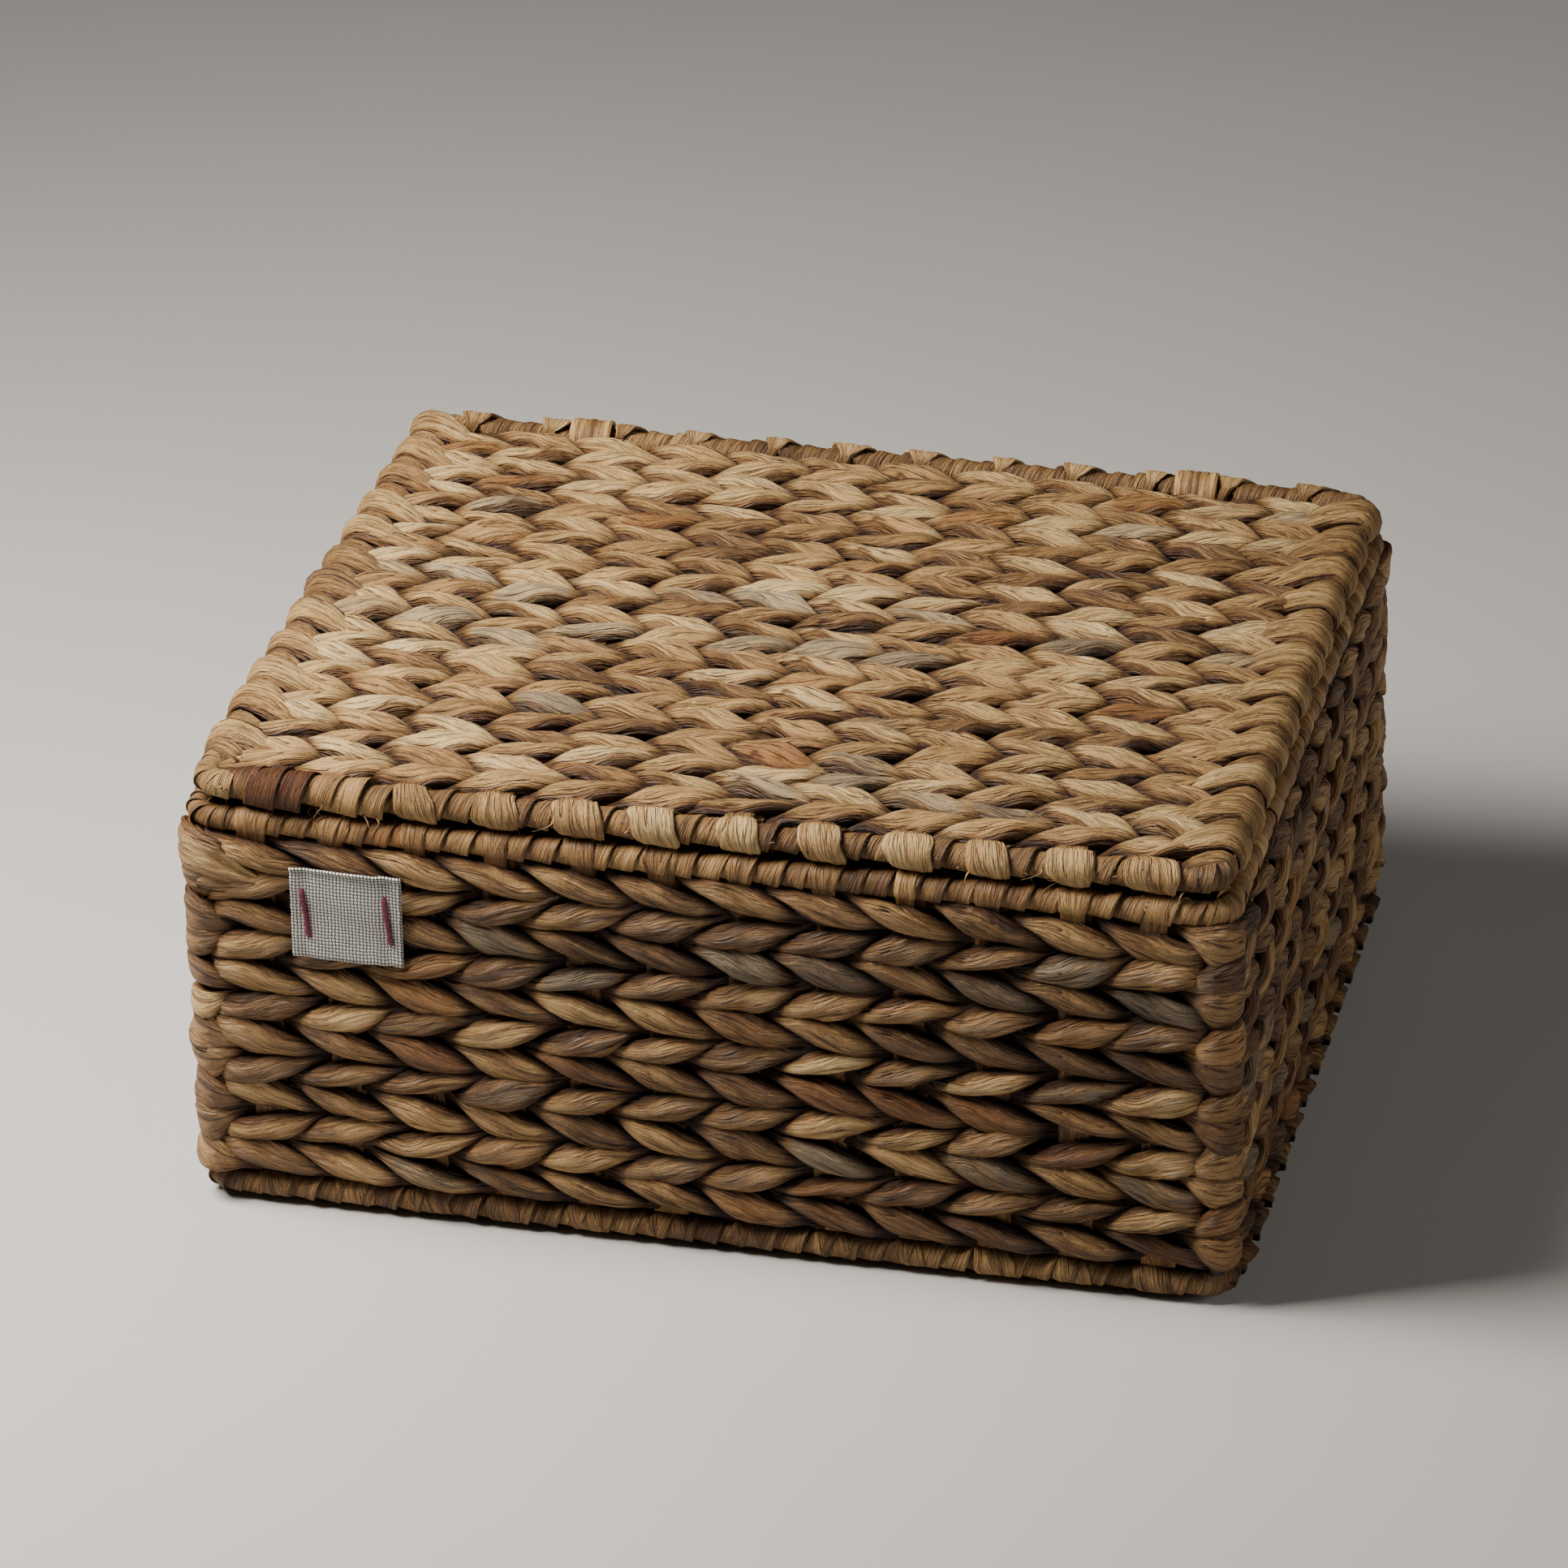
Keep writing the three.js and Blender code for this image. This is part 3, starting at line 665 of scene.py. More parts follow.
@dataclass(frozen=True)
class ThreadFinish:
    """Burgundy sewing thread, with its twist as fine ridges."""

    deep: tuple[float, ...] = (0.070, 0.008, 0.018, 1)
    bright: tuple[float, ...] = (0.190, 0.024, 0.044, 1)
    relief: float = 0.0002

    def material(self) -> Material:
        """Builds the material.

        Returns:
            The material.
        """
        material, sheet = new_material("label_thread")
        place = sheet.add("Attribute", attribute_name="fibre_place").outputs["Vector"]
        ply = sheet.noise(place, (1.2, 3.0, 3.0), 2.0, 0.6)
        inputs = {
            "Base Color": sheet.mixed(sheet.between(ply, 0.3, 0.7), self.deep, self.bright),
            "Roughness": sheet.between(ply, 0.3, 0.7, 0.75, 0.5),
        }
        sheet.shade(inputs, ply, self.relief, 0.8)
        return material


@dataclass(frozen=True)
class FloorFinish:
    """Plain pale floor."""

    darker: tuple[float, ...] = (0.50, 0.49, 0.475, 1)
    lighter: tuple[float, ...] = (0.54, 0.53, 0.515, 1)
    roughness: float = 0.85

    def material(self) -> Material:
        """Builds the material.

        Returns:
            The material.
        """
        material, sheet = new_material("pale_floor")
        mottle = sheet.noise(sheet.add("TexCoord").outputs["Object"], 6.0, 3.0)
        inputs = {"Base Color": sheet.mixed(mottle, self.darker, self.lighter), "Roughness": self.roughness}
        sheet.feed(sheet.tree.nodes["Principled BSDF"], inputs)
        return material


class WallLine:
    """The walls' mid-plane, counted in stakes from the front left corner, the corner posts among them."""

    starts = (0, 13, 24, 37, 48)
    tangents = ((1, 0), (0, 1), (-1, 0), (0, -1))
    normals = ((0, -1), (1, 0), (0, 1), (-1, 0))
    corner_fall = 0.55

    def at(self, u: Array) -> tuple[Array, Array]:
        """Where the line is.

        Args:
            u: Places along it, in stakes.

        Returns:
            Points at height 0 and outward directions.
        """
        u = np.mod(u, self.starts[-1])
        points, outs = np.zeros((len(u), 3)), np.zeros((len(u), 3))
        radius, inner = SIZES.corner_radius, SIZES.corner_radius - SIZES.half_weave
        for side in range(4):
            first, last = self.starts[side : side + 2]
            length, other = (SIZES.width, SIZES.depth) if side % 2 == 0 else (SIZES.depth, SIZES.width)
            here = (u >= first) & (u < last)
            along = ((u[here] - first) / (last - first) - 0.5) * length
            straight = length / 2 - radius
            over = np.clip(np.abs(along) - straight, 0, radius) / radius * np.pi / 4
            run = np.sign(along) * (np.minimum(np.abs(along), straight) + inner * np.sin(over))
            reach = other / 2 - radius + inner * np.cos(over)
            tangent, normal = np.array(self.tangents[side]), np.array(self.normals[side])
            points[here, :2] = tangent * run[:, None] + normal * reach[:, None]
            outs[here, :2] = normal * np.cos(over)[:, None] + tangent * (np.sign(along) * np.sin(over))[:, None]
        return points, outs

    def corner_share(self, u: Array) -> Array:
        """1 at a corner post, falling to 0 within a stake of it."""
        gap = np.min(np.abs(np.mod(u, self.starts[-1])[:, None] - np.array(self.starts)[None]), axis=1)
        return np.exp(-((gap / self.corner_fall) ** 2))


@dataclass(frozen=True)
class WireLine:
    """A rectangular ring of wire with round bends, measured from the front left straight's start."""

    half_x: float
    front: float
    back: float
    z: float
    bend_steps: int = 8

    def _outline(self) -> tuple[Array, Array, Array]:
        """Goes once round the ring.

        Returns:
            Points, outward directions and distances along it.
        """
        r = SIZES.bend_radius
        left, right, front, back = -self.half_x + r, self.half_x - r, self.front + r, self.back - r
        points, outs = [(left, self.front)], [(0.0, -1.0)]
        for cx, cy, start in ((right, front, -90), (right, back, 0), (left, back, 90), (left, front, 180)):
            for step in range(self.bend_steps + 1):
                angle = math.radians(start + 90 * step / self.bend_steps)
                points.append((cx + r * math.cos(angle), cy + r * math.sin(angle)))
                outs.append((math.cos(angle), math.sin(angle)))
        points, outs = np.array(points), np.array(outs)
        return points, outs, run_length(points)

    def length(self) -> float:
        """The ring's length."""
        return float(self._outline()[2][-1])

    def at(self, s: Array) -> tuple[Array, Array, Array]:
        """Where the wire is.

        Args:
            s: Distances along it.

        Returns:
            Points, outward directions and directions of travel.
        """
        points, outs, marks = self._outline()
        s = np.mod(s, marks[-1])
        x, y, out_x, out_y = (np.interp(s, marks, row) for row in (*points.T, *outs.T))
        place = np.stack([x, y, np.full(len(s), self.z)], -1)
        out = unit(np.stack([out_x, out_y, np.zeros(len(s))], -1))
        return place, out, np.stack([-out[:, 1], out[:, 0], out[:, 2]], -1)

    def bent(self, s: Array) -> Array:
        """1 in and near the wire's bends, 0 on its straights."""
        turned = [np.abs(np.prod(self.at(s + shift)[1][:, :2], axis=1)) for shift in (-3.5, 0.0, 3.5)]
        return np.max(smooth_step(np.array(turned), 0.0, 0.25), axis=0)


@dataclass(frozen=True)
class Twine:
    """How a pair of strands winds about its stakes: millimetres, counts, and how far its stitches differ."""

    swing: float = 2.9
    rise: float = 4.5
    wide: float = 5.4
    thick: float = 3.6
    rings: int = 10
    sides: int = 26
    fold: float = 0.5
    roll: float = 0.30
    corner_swing: float = 1.3
    corner_wide: float = 7.2
    unevenness: float = 1.0
    turn_spread: float = 7.0
    depth_spread: float = 0.4
    height_spread: float = 0.7
    width_spread: float = 0.13
    bulge_spread: float = 0.10
    roll_spread: float = 0.16


# Over one full turn of a strand, in degrees from where it is outermost: how far out and how far along the
# slant it is, as shares of the swing and the rise, and its half width and half thickness as shares of the fullest.
TURN = np.array([-180.0, -158, -142, -118, -90, -60, -30, 0, 30, 60, 90, 118, 142, 158, 180])
REACH = np.array([-1.0, -0.80, -0.20, 0.42, 0.74, 0.92, 0.98, 1.0, 0.98, 0.90, 0.66, 0.28, -0.28, -0.84, -1.0])
FALL = np.array([0.0, -0.72, -1.0, -0.93, -0.70, -0.43, -0.20, 0.0, 0.20, 0.43, 0.70, 0.93, 1.0, 0.72, 0.0])
BREADTH = np.array([1.10, 0.98, 0.58, 0.34, 0.53, 0.79, 0.95, 1.0, 0.95, 0.79, 0.53, 0.34, 0.58, 0.98, 1.10])
BODY = np.array([0.92, 0.78, 0.55, 0.62, 0.84, 0.96, 1.0, 1.0, 1.0, 0.96, 0.84, 0.62, 0.55, 0.78, 0.92])

# Stitches of an unusual colour, by row or course: stake, tone and hue.
LID_ACCENTS = {
    1: ((10, 0.40, 0.05),),
    2: ((8, 0.50, 0.02), (6, 0.66, 0.40)),
    3: ((7, 0.52, 1.12), (8, 0.50, 0.10)),
    5: ((4, 0.40, 0.02),),
    8: ((5, 0.46, 0.85), (11, 0.36, 0.95)),
    10: ((7, 0.58, 0.00), (8, 0.58, 0.00)),
    12: ((9, 0.38, 1.10), (10, 0.46, 0.00), (3, 0.72, 0.05)),
    14: ((9, 0.36, 0.60),),
    15: ((10, 0.30, 0.45),),
    18: ((4, 0.52, 1.00),),
    20: ((2, 0.50, 0.95), (8, 0.52, 0.98)),
    22: ((1, 0.55, 1.00), (10, 0.58, 0.98)),
}
WALL_ACCENTS = {
    0: ((7, 0.46, 0.95),),
    1: ((4, 0.52, 0.85), (8, 0.44, 1.00)),
    2: ((3, 0.56, 0.72), (6, 0.56, 0.62)),
    3: ((11, 0.26, 1.10),),
    4: ((8, 0.24, 1.20), (9, 0.28, 1.15), (10, 0.30, 1.05)),
    5: ((6, 0.44, 0.35),),
    6: ((3, 0.50, 0.95), (7, 0.34, 0.90)),
    7: ((5, 0.30, 0.00), (3, 0.42, 0.95)),
    8: ((7, 0.30, 0.00), (4, 0.34, 0.05)),
}
TURNS_BEFORE = 40


@dataclass
class StitchLooks:
    """Random tone, hue and build of each half turn of one strand."""

    rng: np.random.Generator
    count: int
    tone_mean: float
    tone_spread: float
    values: dict[str, Array] = field(default_factory=dict)

    def __post_init__(self) -> None:
        """Draws the stems, each a few stitches long, and the stitches."""
        tone, hue, k = np.empty(self.count), np.empty(self.count), 0
        while k < self.count:
            run = int(self.rng.integers(3, 12))
            tone[k : k + run] = self.rng.normal(self.tone_mean, self.tone_spread)
            hue[k : k + run] = self.rng.normal(0.5, 0.17)
            k += run
        tone += self.rng.normal(0, 0.07, self.count)
        hue = np.clip(hue + self.rng.normal(0, 0.10, self.count), 0, 1)
        self.values = {"tone": tone, "hue": hue}
        for name in ("width", "height", "depth", "roll", "bulge"):
            self.values[name] = self.rng.normal(0, 1, self.count).clip(-2, 2)

    def accent(self, phase: int, marked: tuple[tuple[int, float, float], ...]) -> "StitchLooks":
        """Gives some stitches a tone and hue of their own.

        Args:
            phase: Which strand of the pair.
            marked: Stake, tone and hue of each.

        Returns:
            These looks.
        """
        for stake, tone, hue in marked:
            if stake % 2 == phase:
                spot = (stake - phase + TURNS_BEFORE) % self.count
                self.values["tone"][spot], self.values["hue"][spot] = tone, hue
        return self

    def read(self, name: str, u: Array, hold: float = 0.2) -> Array:
        """A value along the strand, held over the middle of each half turn.

        Args:
            name: Which value.
            u: Places along the strand, with whole numbers where it is outermost or innermost.
            hold: How far round each whole number it is held.

        Returns:
            The values.
        """
        cell = np.floor(u).astype(int)
        share = smooth_step(u - cell, hold, 1 - hold)
        table = self.values[name]
        return table[cell % self.count] * (1 - share) + table[(cell + 1) % self.count] * share


class Weaver:
    """Lays twined strands into a mesh."""

    stem_length = 1977.0
    lanes_per_strand = 31

    def __init__(self, seed: int) -> None:
        """Seeds the fold pattern and the stems.

        Args:
            seed: Picks them.
        """
        self.rng = np.random.default_rng(seed)
        self.wander = Wander(seed + 1)
        self.laid = 0

    def strand(
        self,
        mesh: SweptMesh,
        line: Line,
        span: tuple[float, float],
        phase: int,
        lean: Lean,
        twine: Twine,
        looks: StitchLooks,
        corner: Callable[[Array], Array] = np.zeros_like,
    ) -> None:
        """Sweeps one strand of a twined pair.

        Args:
            mesh: Where it goes.
            line: Gives points, outward and upward directions and the pitch in millimetres for places in stakes.
            span: First and last place.
            phase: 0 or 1, which strand of the pair.
            lean: Which way its stitches run.
            twine: Its winding.
            looks: Its stitches.
            corner: How much a place belongs to a corner.
        """
        count = max(2, int(round((span[1] - span[0]) * twine.rings)))
        u = np.linspace(span[0], span[1], count + 1)
        points, out, up, pitch = line(u)
        bend, uneven, slant = corner(u), twine.unevenness, lean.value
        theta, turn = np.pi * (u - phase), u - phase + TURNS_BEFORE
        sway = {name: looks.read(name, turn) for name in ("roll", "depth", "height", "width", "bulge")}
        degrees = np.mod(np.degrees(theta) + twine.turn_spread * sway["roll"] * uneven + 180, 360) - 180
        open_share = np.cos(theta) ** 2
        depth = (twine.swing + bend * twine.corner_swing) * np.interp(degrees, TURN, REACH)
        depth = depth + np.sign(np.cos(theta)) * open_share * sway["depth"] * twine.depth_spread * uneven
        rise = slant * twine.rise * (1 - 0.7 * bend) * np.interp(degrees, TURN, FALL)
        rise = rise + sway["height"] * twine.height_spread * uneven
        breadth = np.interp(degrees, TURN, BREADTH)
        half_wide = (twine.wide + (twine.corner_wide - twine.wide) * bend) * (breadth + (1 - breadth) * 0.8 * bend)
        half_wide = half_wide * (1 + twine.width_spread * uneven * sway["width"])
        bulge = 1 + twine.bulge_spread * uneven * sway["bulge"]
        half_thin = twine.thick * np.interp(degrees, TURN, BODY) * bulge * (1 - 0.22 * bend)
        roll = twine.roll * np.sin(2 * theta) * (1 - bend) + twine.roll_spread * uneven * sway["roll"]
        level, tipped = np.cos(roll)[:, None], slant * np.sin(roll)[:, None]
        first = self.lanes_per_strand * self.laid
        swells = self.wander.around(u * 0.7, twine.sides, 7.3, 0, first)
        valleys = smooth_step(self.wander.around(u * 0.55, twine.sides, 3.7, 997, first), 0.15, 0.7)
        mesh.add(
            Sweep(
                points + out * depth[:, None] + up * rise[:, None],
                level * up - tipped * out,
                level * out + tipped * up,
                half_wide,
                half_thin,
                looks.read("tone", turn, 0.38),
                looks.read("hue", turn, 0.38),
                # Painted shade where the strand dives past its crossing towards the far side of the weave.
                smooth_step(np.abs(degrees), 92, 132) * 0.75,
                u * pitch + self.stem_length * self.laid,
                twine.fold * (0.6 * swells - 1.5 * valleys) * (0.5 + 0.5 * open_share[:, None]),
                twine.sides,
                1 - 0.5 * bend,
                rings_per_tile=twine.rings,
                # Its middle line and outward way let the mesh paint shade deep between strands and at their edges.
                middle=points,
                out=out,
            )
        )
        self.laid += 1


@dataclass
class Strap:
    """A flat strip folded over a wire, its legs tucked into the weave."""

    radius: float
    width: float
    thickness: float
    swell: float = 0.3
    flap: bool = False
    leg: float = 12.0
    leg_gap: float = 1.6
    sides: int = 16

    def lay(
        self,
        mesh: SweptMesh,
        centre: Array,
        axis: Array,
        leg: Array,
        rng: np.random.Generator,
        look: tuple[float, float],
        skew: float,
    ) -> None:
        """Folds one strap over a wire.

        Args:
            mesh: Where it goes.
            centre: The wire's centre.
            axis: The wire's direction.
            leg: Which way the legs go.
            rng: Draws its unevenness.
            look: Its tone and hue.
            skew: How far the second leg lands along the wire from the first.
        """
        radius = self.radius + rng.uniform(-0.15, 0.35)
        beta = np.linspace(math.radians(48), math.radians(312), 17)
        tucked = [(self.leg, self.leg_gap), (self.leg * 0.72, self.leg_gap + 0.9)]
        hook = [*tucked, *zip(radius * np.cos(beta), radius * np.sin(beta)), *((x, -y) for x, y in tucked[::-1])]
        hook = np.array(hook)
        share = np.linspace(-1, 1, len(hook))
        centres = centre + hook[:, :1] * leg + hook[:, 1:] * np.cross(axis, leg)
        centres = centres + axis * (skew * share / 2 + rng.uniform(-0.4, 0.4))[:, None]
        tangent = heading(centres)
        thin = unit(np.cross(tangent, axis))
        wide = unit(np.cross(thin, tangent))
        middle = np.cos(share * 1.35) ** 0.8
        wander = Wander(int(rng.integers(1 << 30)))
        if self.flap:
            places = [-1.0, -0.6, -0.25, 0.05, 0.35, 0.6, 0.75, 1.0]
            middle = np.interp(share, places, [0.1, 0.75, 1.0, 0.95, 0.62, 0.05, -0.5, -0.7])
            centres = centres + thin * (1.1 * np.exp(-(((share - 0.52) / 0.16) ** 2)))[:, None]
        mesh.add(
            Sweep(
                centres,
                wide,
                thin,
                self.width / 2 * (0.5 + 0.5 * middle) * (1 + 0.12 * wander.at(share * 3)),
                self.thickness / 2 * (0.55 + 0.45 * np.maximum(middle, 0)),
                *look,
                # Painted shade on the legs, darker towards their tucked ends.
                smooth_step(np.abs(share), 0.6, 1.0) * 0.9,
                run_length(centres) + rng.uniform(0, APART),
                self.swell * wander.around(share * 1.6, self.sides, 5.1),
                self.sides,
                0.85,
                (self.width / 2, 1.0),
                len(hook),
            )
        )


@dataclass
class Winding:
    """A strip wound round a wire, each turn lapping the last."""

    pitch: float = 8.6
    width: float = 10.4
    radius: float = 3.6
    thickness: float = 0.7
    lap: float = 0.11
    steps: int = 18
    sides: int = 10
    marks: int = 2000

    def lay(
        self,
        mesh: SweptMesh,
        line: WireLine,
        span: tuple[float, float],
        seed: int,
        tone_mean: float,
        look: Look | None = None,
        swell: Callable[[Array], Array] = np.zeros_like,
    ) -> None:
        """Winds the strip.

        Args:
            mesh: Where it goes.
            line: The wire.
            span: First and last distance along it.
            seed: Draws its unevenness.
            tone_mean: Its mean tone.
            look: Changes tone and hue by distance along the wire.
            swell: Extra radius at distances along the wire.
        """
        rng, wander = np.random.default_rng(seed), Wander(seed + 5)
        marks = np.linspace(span[0], span[1], self.marks)
        spent = np.cumsum((span[1] - span[0]) / self.marks / (self.pitch * (1 - 0.55 * line.bent(marks))))
        t = np.linspace(0, spent[-1], int(spent[-1] * self.steps) + 1)
        s = np.interp(t + 0.07 * wander.at(t * 1.3), spent, marks)
        place, out, travel = line.at(s)
        bent = line.bent(s)
        angle = 2 * np.pi * t + 0.7
        radial = np.cos(angle)[:, None] * out + np.sin(angle)[:, None] * UP
        radius = self.radius + 0.28 * wander.at(t * 0.8, 3) + 0.16 * wander.at(t * 3.1, 4) + swell(s)
        lap = ((self.lap + 0.05 * wander.at(t * 0.7, 5)) * (1 - 0.4 * bent))[:, None]
        way = unit(travel - self.pitch / (2 * np.pi * self.radius) * np.cross(radial, travel))
        tone = tone_mean + 0.12 * wander.at(t * 0.35, 7) + 0.12 * wander.at(t * 1.0, 8)
        hue = 0.5 + 0.34 * wander.at(t * 0.22, 9)
        if look is not None:
            tone, hue = look(s, tone, hue)
        mesh.add(
            Sweep(
                place + radial * radius[:, None],
                way * np.cos(lap) + radial * np.sin(lap),
                radial * np.cos(lap) - way * np.sin(lap),
                self.width / 2 * (1 + 0.16 * wander.at(t * 0.8, 6)) * (1 - 0.28 * bent),
                self.thickness / 2,
                tone,
                hue,
                0.1,
                t * 2 * np.pi * self.radius + rng.uniform(0, APART),
                0.14 * wander.around(t * 2.2, self.sides, 9.7, 20),
                self.sides,
                0.7,
                (self.width * 0.8, 1.0),
                self.steps,
            )
        )


@dataclass
class Wisps:
    """Loose curled fibres that stand off a wound edge."""

    thickness: float = 0.16
    length: float = 7.0
    root_radius: float = 4.6
    rings: int = 9
    sides: int = 5

    def lay(self, mesh: SweptMesh, line: WireLine, span: tuple[float, float], count: int, seed: int) -> None:
        """Scatters fibres over a stretch of wire.

        Args:
            mesh: Where they go.
            line: The wire.
            span: First and last distance along it.
            count: How many.
            seed: Draws them.
        """
        rng = np.random.default_rng(seed)
        place, out, travel = line.at(rng.uniform(*span, count))
        t = np.linspace(0, 1, self.rings)[:, None]
        for k in range(count):
            angle = rng.uniform(-2.0, 0.9)
            sideways, upwards = out[k] * math.cos(angle), UP * math.sin(angle)
            root = place[k] + (sideways + upwards) * self.root_radius
            way = unit(sideways + upwards * 0.7 + travel[k] * rng.normal(0, 1.1))
            curl = rng.normal(0, 1.0, 3) - UP * 0.8
            reach = self.length * rng.uniform(0.5, 1.3)
            centres = root + way * reach * 0.6 * t + curl * reach * 0.35 * t**2 - way * reach * 0.3 * t**3
            tangent = heading(centres)
            wide = unit(np.cross(tangent, UP + 0.01))
            size = self.thickness * (1.1 - t[:, 0])
            look = rng.uniform(0.5, 0.95)
            half_wide, along = size * rng.uniform(1.0, 2.6), t[:, 0] * reach + rng.uniform(0, APART)
            fibre = (centres, wide, np.cross(wide, tangent), half_wide, size, look, look * 0.6, 0.0, along)
            mesh.add(Sweep(*fibre, sides=self.sides, cross=(0.3, 0.3), rings_per_tile=self.rings))


# The line of a petal from the last stake over the side wire and back in below: distance out from the wire,
# height above it, place along it, half width and half thickness, all in millimetres.
PETAL = np.array(
    [
        (-22.0, -1.2, -9.6, 1.0, 1.2),
        (-19.0, 1.0, -8.8, 2.4, 2.1),
        (-14.5, 2.9, -6.6, 4.1, 3.0),
        (-9.5, 4.1, -3.6, 5.3, 3.3),
        (-4.5, 4.9, -0.9, 5.9, 2.9),
        (0.0, 5.2, 0.5, 6.1, 2.2),
        (3.5, 3.8, 0.6, 6.1, 1.7),
        (5.2, 0.0, -0.2, 5.8, 1.5),
        (3.8, -3.3, -1.4, 5.4, 1.5),
        (0.0, -4.7, -2.8, 4.8, 1.6),
        (-7.0, -4.2, -4.6, 4.0, 1.7),
        (-14.0, -3.0, -6.2, 3.2, 1.7),
        (-20.0, -0.4, -7.4, 2.2, 1.5),
    ]
)


@dataclass
class RowEnds:
    """Row ends that turn over a side wire as broad petals, with a smaller one before each whose tone is lowered as
    painted shade.
    """

    wire: WireLine
    facing: int
    first_y: float
    spacing: float
    fullness: float
    tone_mean: float
    count: int = 12
    rings: int = 30
    sides: int = 28
    small: float = 0.66
    small_painted_shade: float = 0.18
    small_lower: float = 0.32

    def lay(self, mesh: SweptMesh, side: int, rng: np.random.Generator) -> None:
        """Lays the petals of one side.

        Args:
            mesh: Where they go.
            side: 1 for the right wire, -1 for the left.
            rng: Draws their unevenness.
        """
        for k in range(self.count):
            y = self.first_y + k * self.spacing
            self.petal(mesh, side, y - self.spacing / 2, rng, True)
            self.petal(mesh, side, y + rng.normal(0, 0.6), rng, False)

    def petal(self, mesh: SweptMesh, side: int, y: float, rng: np.random.Generator, is_small: bool) -> None:
        """Lays one petal.

        Args:
            mesh: Where it goes.
            side: 1 for the right wire, -1 for the left.
            y: Where its head crosses the wire.
            rng: Draws its unevenness.
            is_small: Whether it is one of the smaller ones.
        """
        table = PETAL[2:] if is_small else PETAL
        size = self.small if is_small else 1.0
        slim = 1 - self.small_lower * is_small
        marks = run_length(table[:, :3])
        along = np.linspace(0, marks[-1], self.rings)
        out, high, drift, half_wide, half_thin = (np.interp(along, marks, column) for column in table.T)
        half_thin = half_thin * min(1.0, self.fullness + 0.3)
        wander = Wander(int(rng.integers(1 << 30)))
        stretched = 1 + 0.10 * rng.normal()
        share = along / marks[-1]
        bow = rng.normal(0, 0.7) * np.sin(np.pi * along / marks[-1])
        x = side * (self.wire.half_x + out * slim)
        z = self.wire.z + self.facing * high * slim * self.fullness
        centres = np.stack([x, y + drift * stretched + bow, z], -1)
        tangent = heading(centres)
        across = unit(BACK - tangent * tangent[:, 1:2])
        thin = unit(np.cross(tangent, across)) * side * self.facing
        tip = (math.radians(9 + rng.normal(0, 4)) * smooth_step(out, -30, -4))[:, None]
        across, thin = across * np.cos(tip) + thin * np.sin(tip), thin * np.cos(tip) - across * np.sin(tip)
        swells = wander.around(along / 26, self.sides, 3.3)
        valleys = smooth_step(wander.around(along / 30, self.sides, 5.7, 401), 0.25, 0.8)
        width = half_wide * size * (1 + rng.normal(0, 0.07))
        # The smaller petals' tone is lowered as painted shade, for their place in the hollow between the broad ones.
        tone = rng.normal(self.tone_mean - self.small_painted_shade * is_small, 0.08)
        hue = rng.uniform(0.25, 0.85)
        mesh.add(
            Sweep(
                centres,
                across,
                thin,
                width,
                half_thin * size**0.5,
                tone,
                hue,
                # Painted shade towards both ends, where the petal dives into the weave.
                np.maximum(smooth_step(share, 0.14, 0.0) * 0.8, smooth_step(share, 0.72, 0.95) * 0.9),
                along + rng.uniform(0, APART),
                (0.35 * swells - 0.9 * valleys) * size,
                self.sides,
                0.92,
                (6.5, 3.0),
                self.rings,
                # Its middle line and outward way let the mesh paint shade deep between petals and at their edges.
                centres - thin * (half_thin[:, None] * 0.4 + 2.6),
                thin,
            )
        )


def deselect() -> None:
    """Leaves edit mode and deselects everything."""
    if bpy.context.object and bpy.context.object.mode != "OBJECT":
        bpy.ops.object.mode_set(mode="OBJECT")
    bpy.ops.object.select_all(action="DESELECT")


def settle(piece: Piece) -> None:
    """Puts a piece's place, turn and size into its mesh.

    Args:
        piece: The piece.
    """
    deselect()
    piece.select_set(True)
    bpy.context.view_layer.objects.active = piece
    bpy.ops.object.transform_apply(location=True, rotation=True, scale=True)


def flat_stake(centre: tuple[float, ...], size: tuple[float, ...], seed: int, strip: Material) -> Piece:
    """Models one stake, a flat strip with slightly uneven faces.

    Args:
        centre: Its middle in millimetres.
        size: Its size in millimetres.
        seed: Draws its unevenness.
        strip: What it wears.

    Returns:
        The stake.
    """
    deselect()
    location, scale = (tuple(value * MM for value in values) for values in (centre, size))
    bpy.ops.mesh.primitive_cube_add(size=1, location=location, scale=scale)
    stake = bpy.context.object
    bpy.ops.object.mode_set(mode="EDIT")
    bpy.ops.mesh.subdivide(number_cuts=5)
    bpy.ops.transform.vertex_random(offset=0.25 * MM, seed=seed)
    bpy.ops.object.mode_set(mode="OBJECT")
    settle(stake)
    bpy.ops.object.shade_smooth()
    stake.data.materials.append(strip)
    return stake


def copied(stake: Piece, places: list[Matrix], name: str) -> Piece:
    """Copies a stake to places and joins the copies.

    Args:
        stake: The stake.
        places: Where the copies go.
        name: The joined piece's name.

    Returns:
        The joined piece.
    """
    copies = []
    for place in places:
        copies.append(bpy.data.objects.new("stake", stake.data.copy()))
        bpy.context.scene.collection.objects.link(copies[-1])
        copies[-1].data.transform(place)
    deselect()
    for copy in copies:
        copy.select_set(True)
    bpy.context.view_layer.objects.active = copies[0]
    bpy.ops.object.join()
    copies[0].name = copies[0].data.name = name
    return copies[0]


def bound(piece: Piece, body: str, slot: str, *nodes: str) -> Piece:
    """Rides a piece on its body and reports it.

    Args:
        piece: The piece.
        body: The body that it moves with.
        slot: Its material slot; not used.
        nodes: The CAD nodes that it stands for.

    Returns:
        The piece.
    """
    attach(piece, body)
    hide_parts(*nodes)
    LOG.info("%s: %d faces on %s", piece.name, len(piece.data.polygons), body)
    return piece


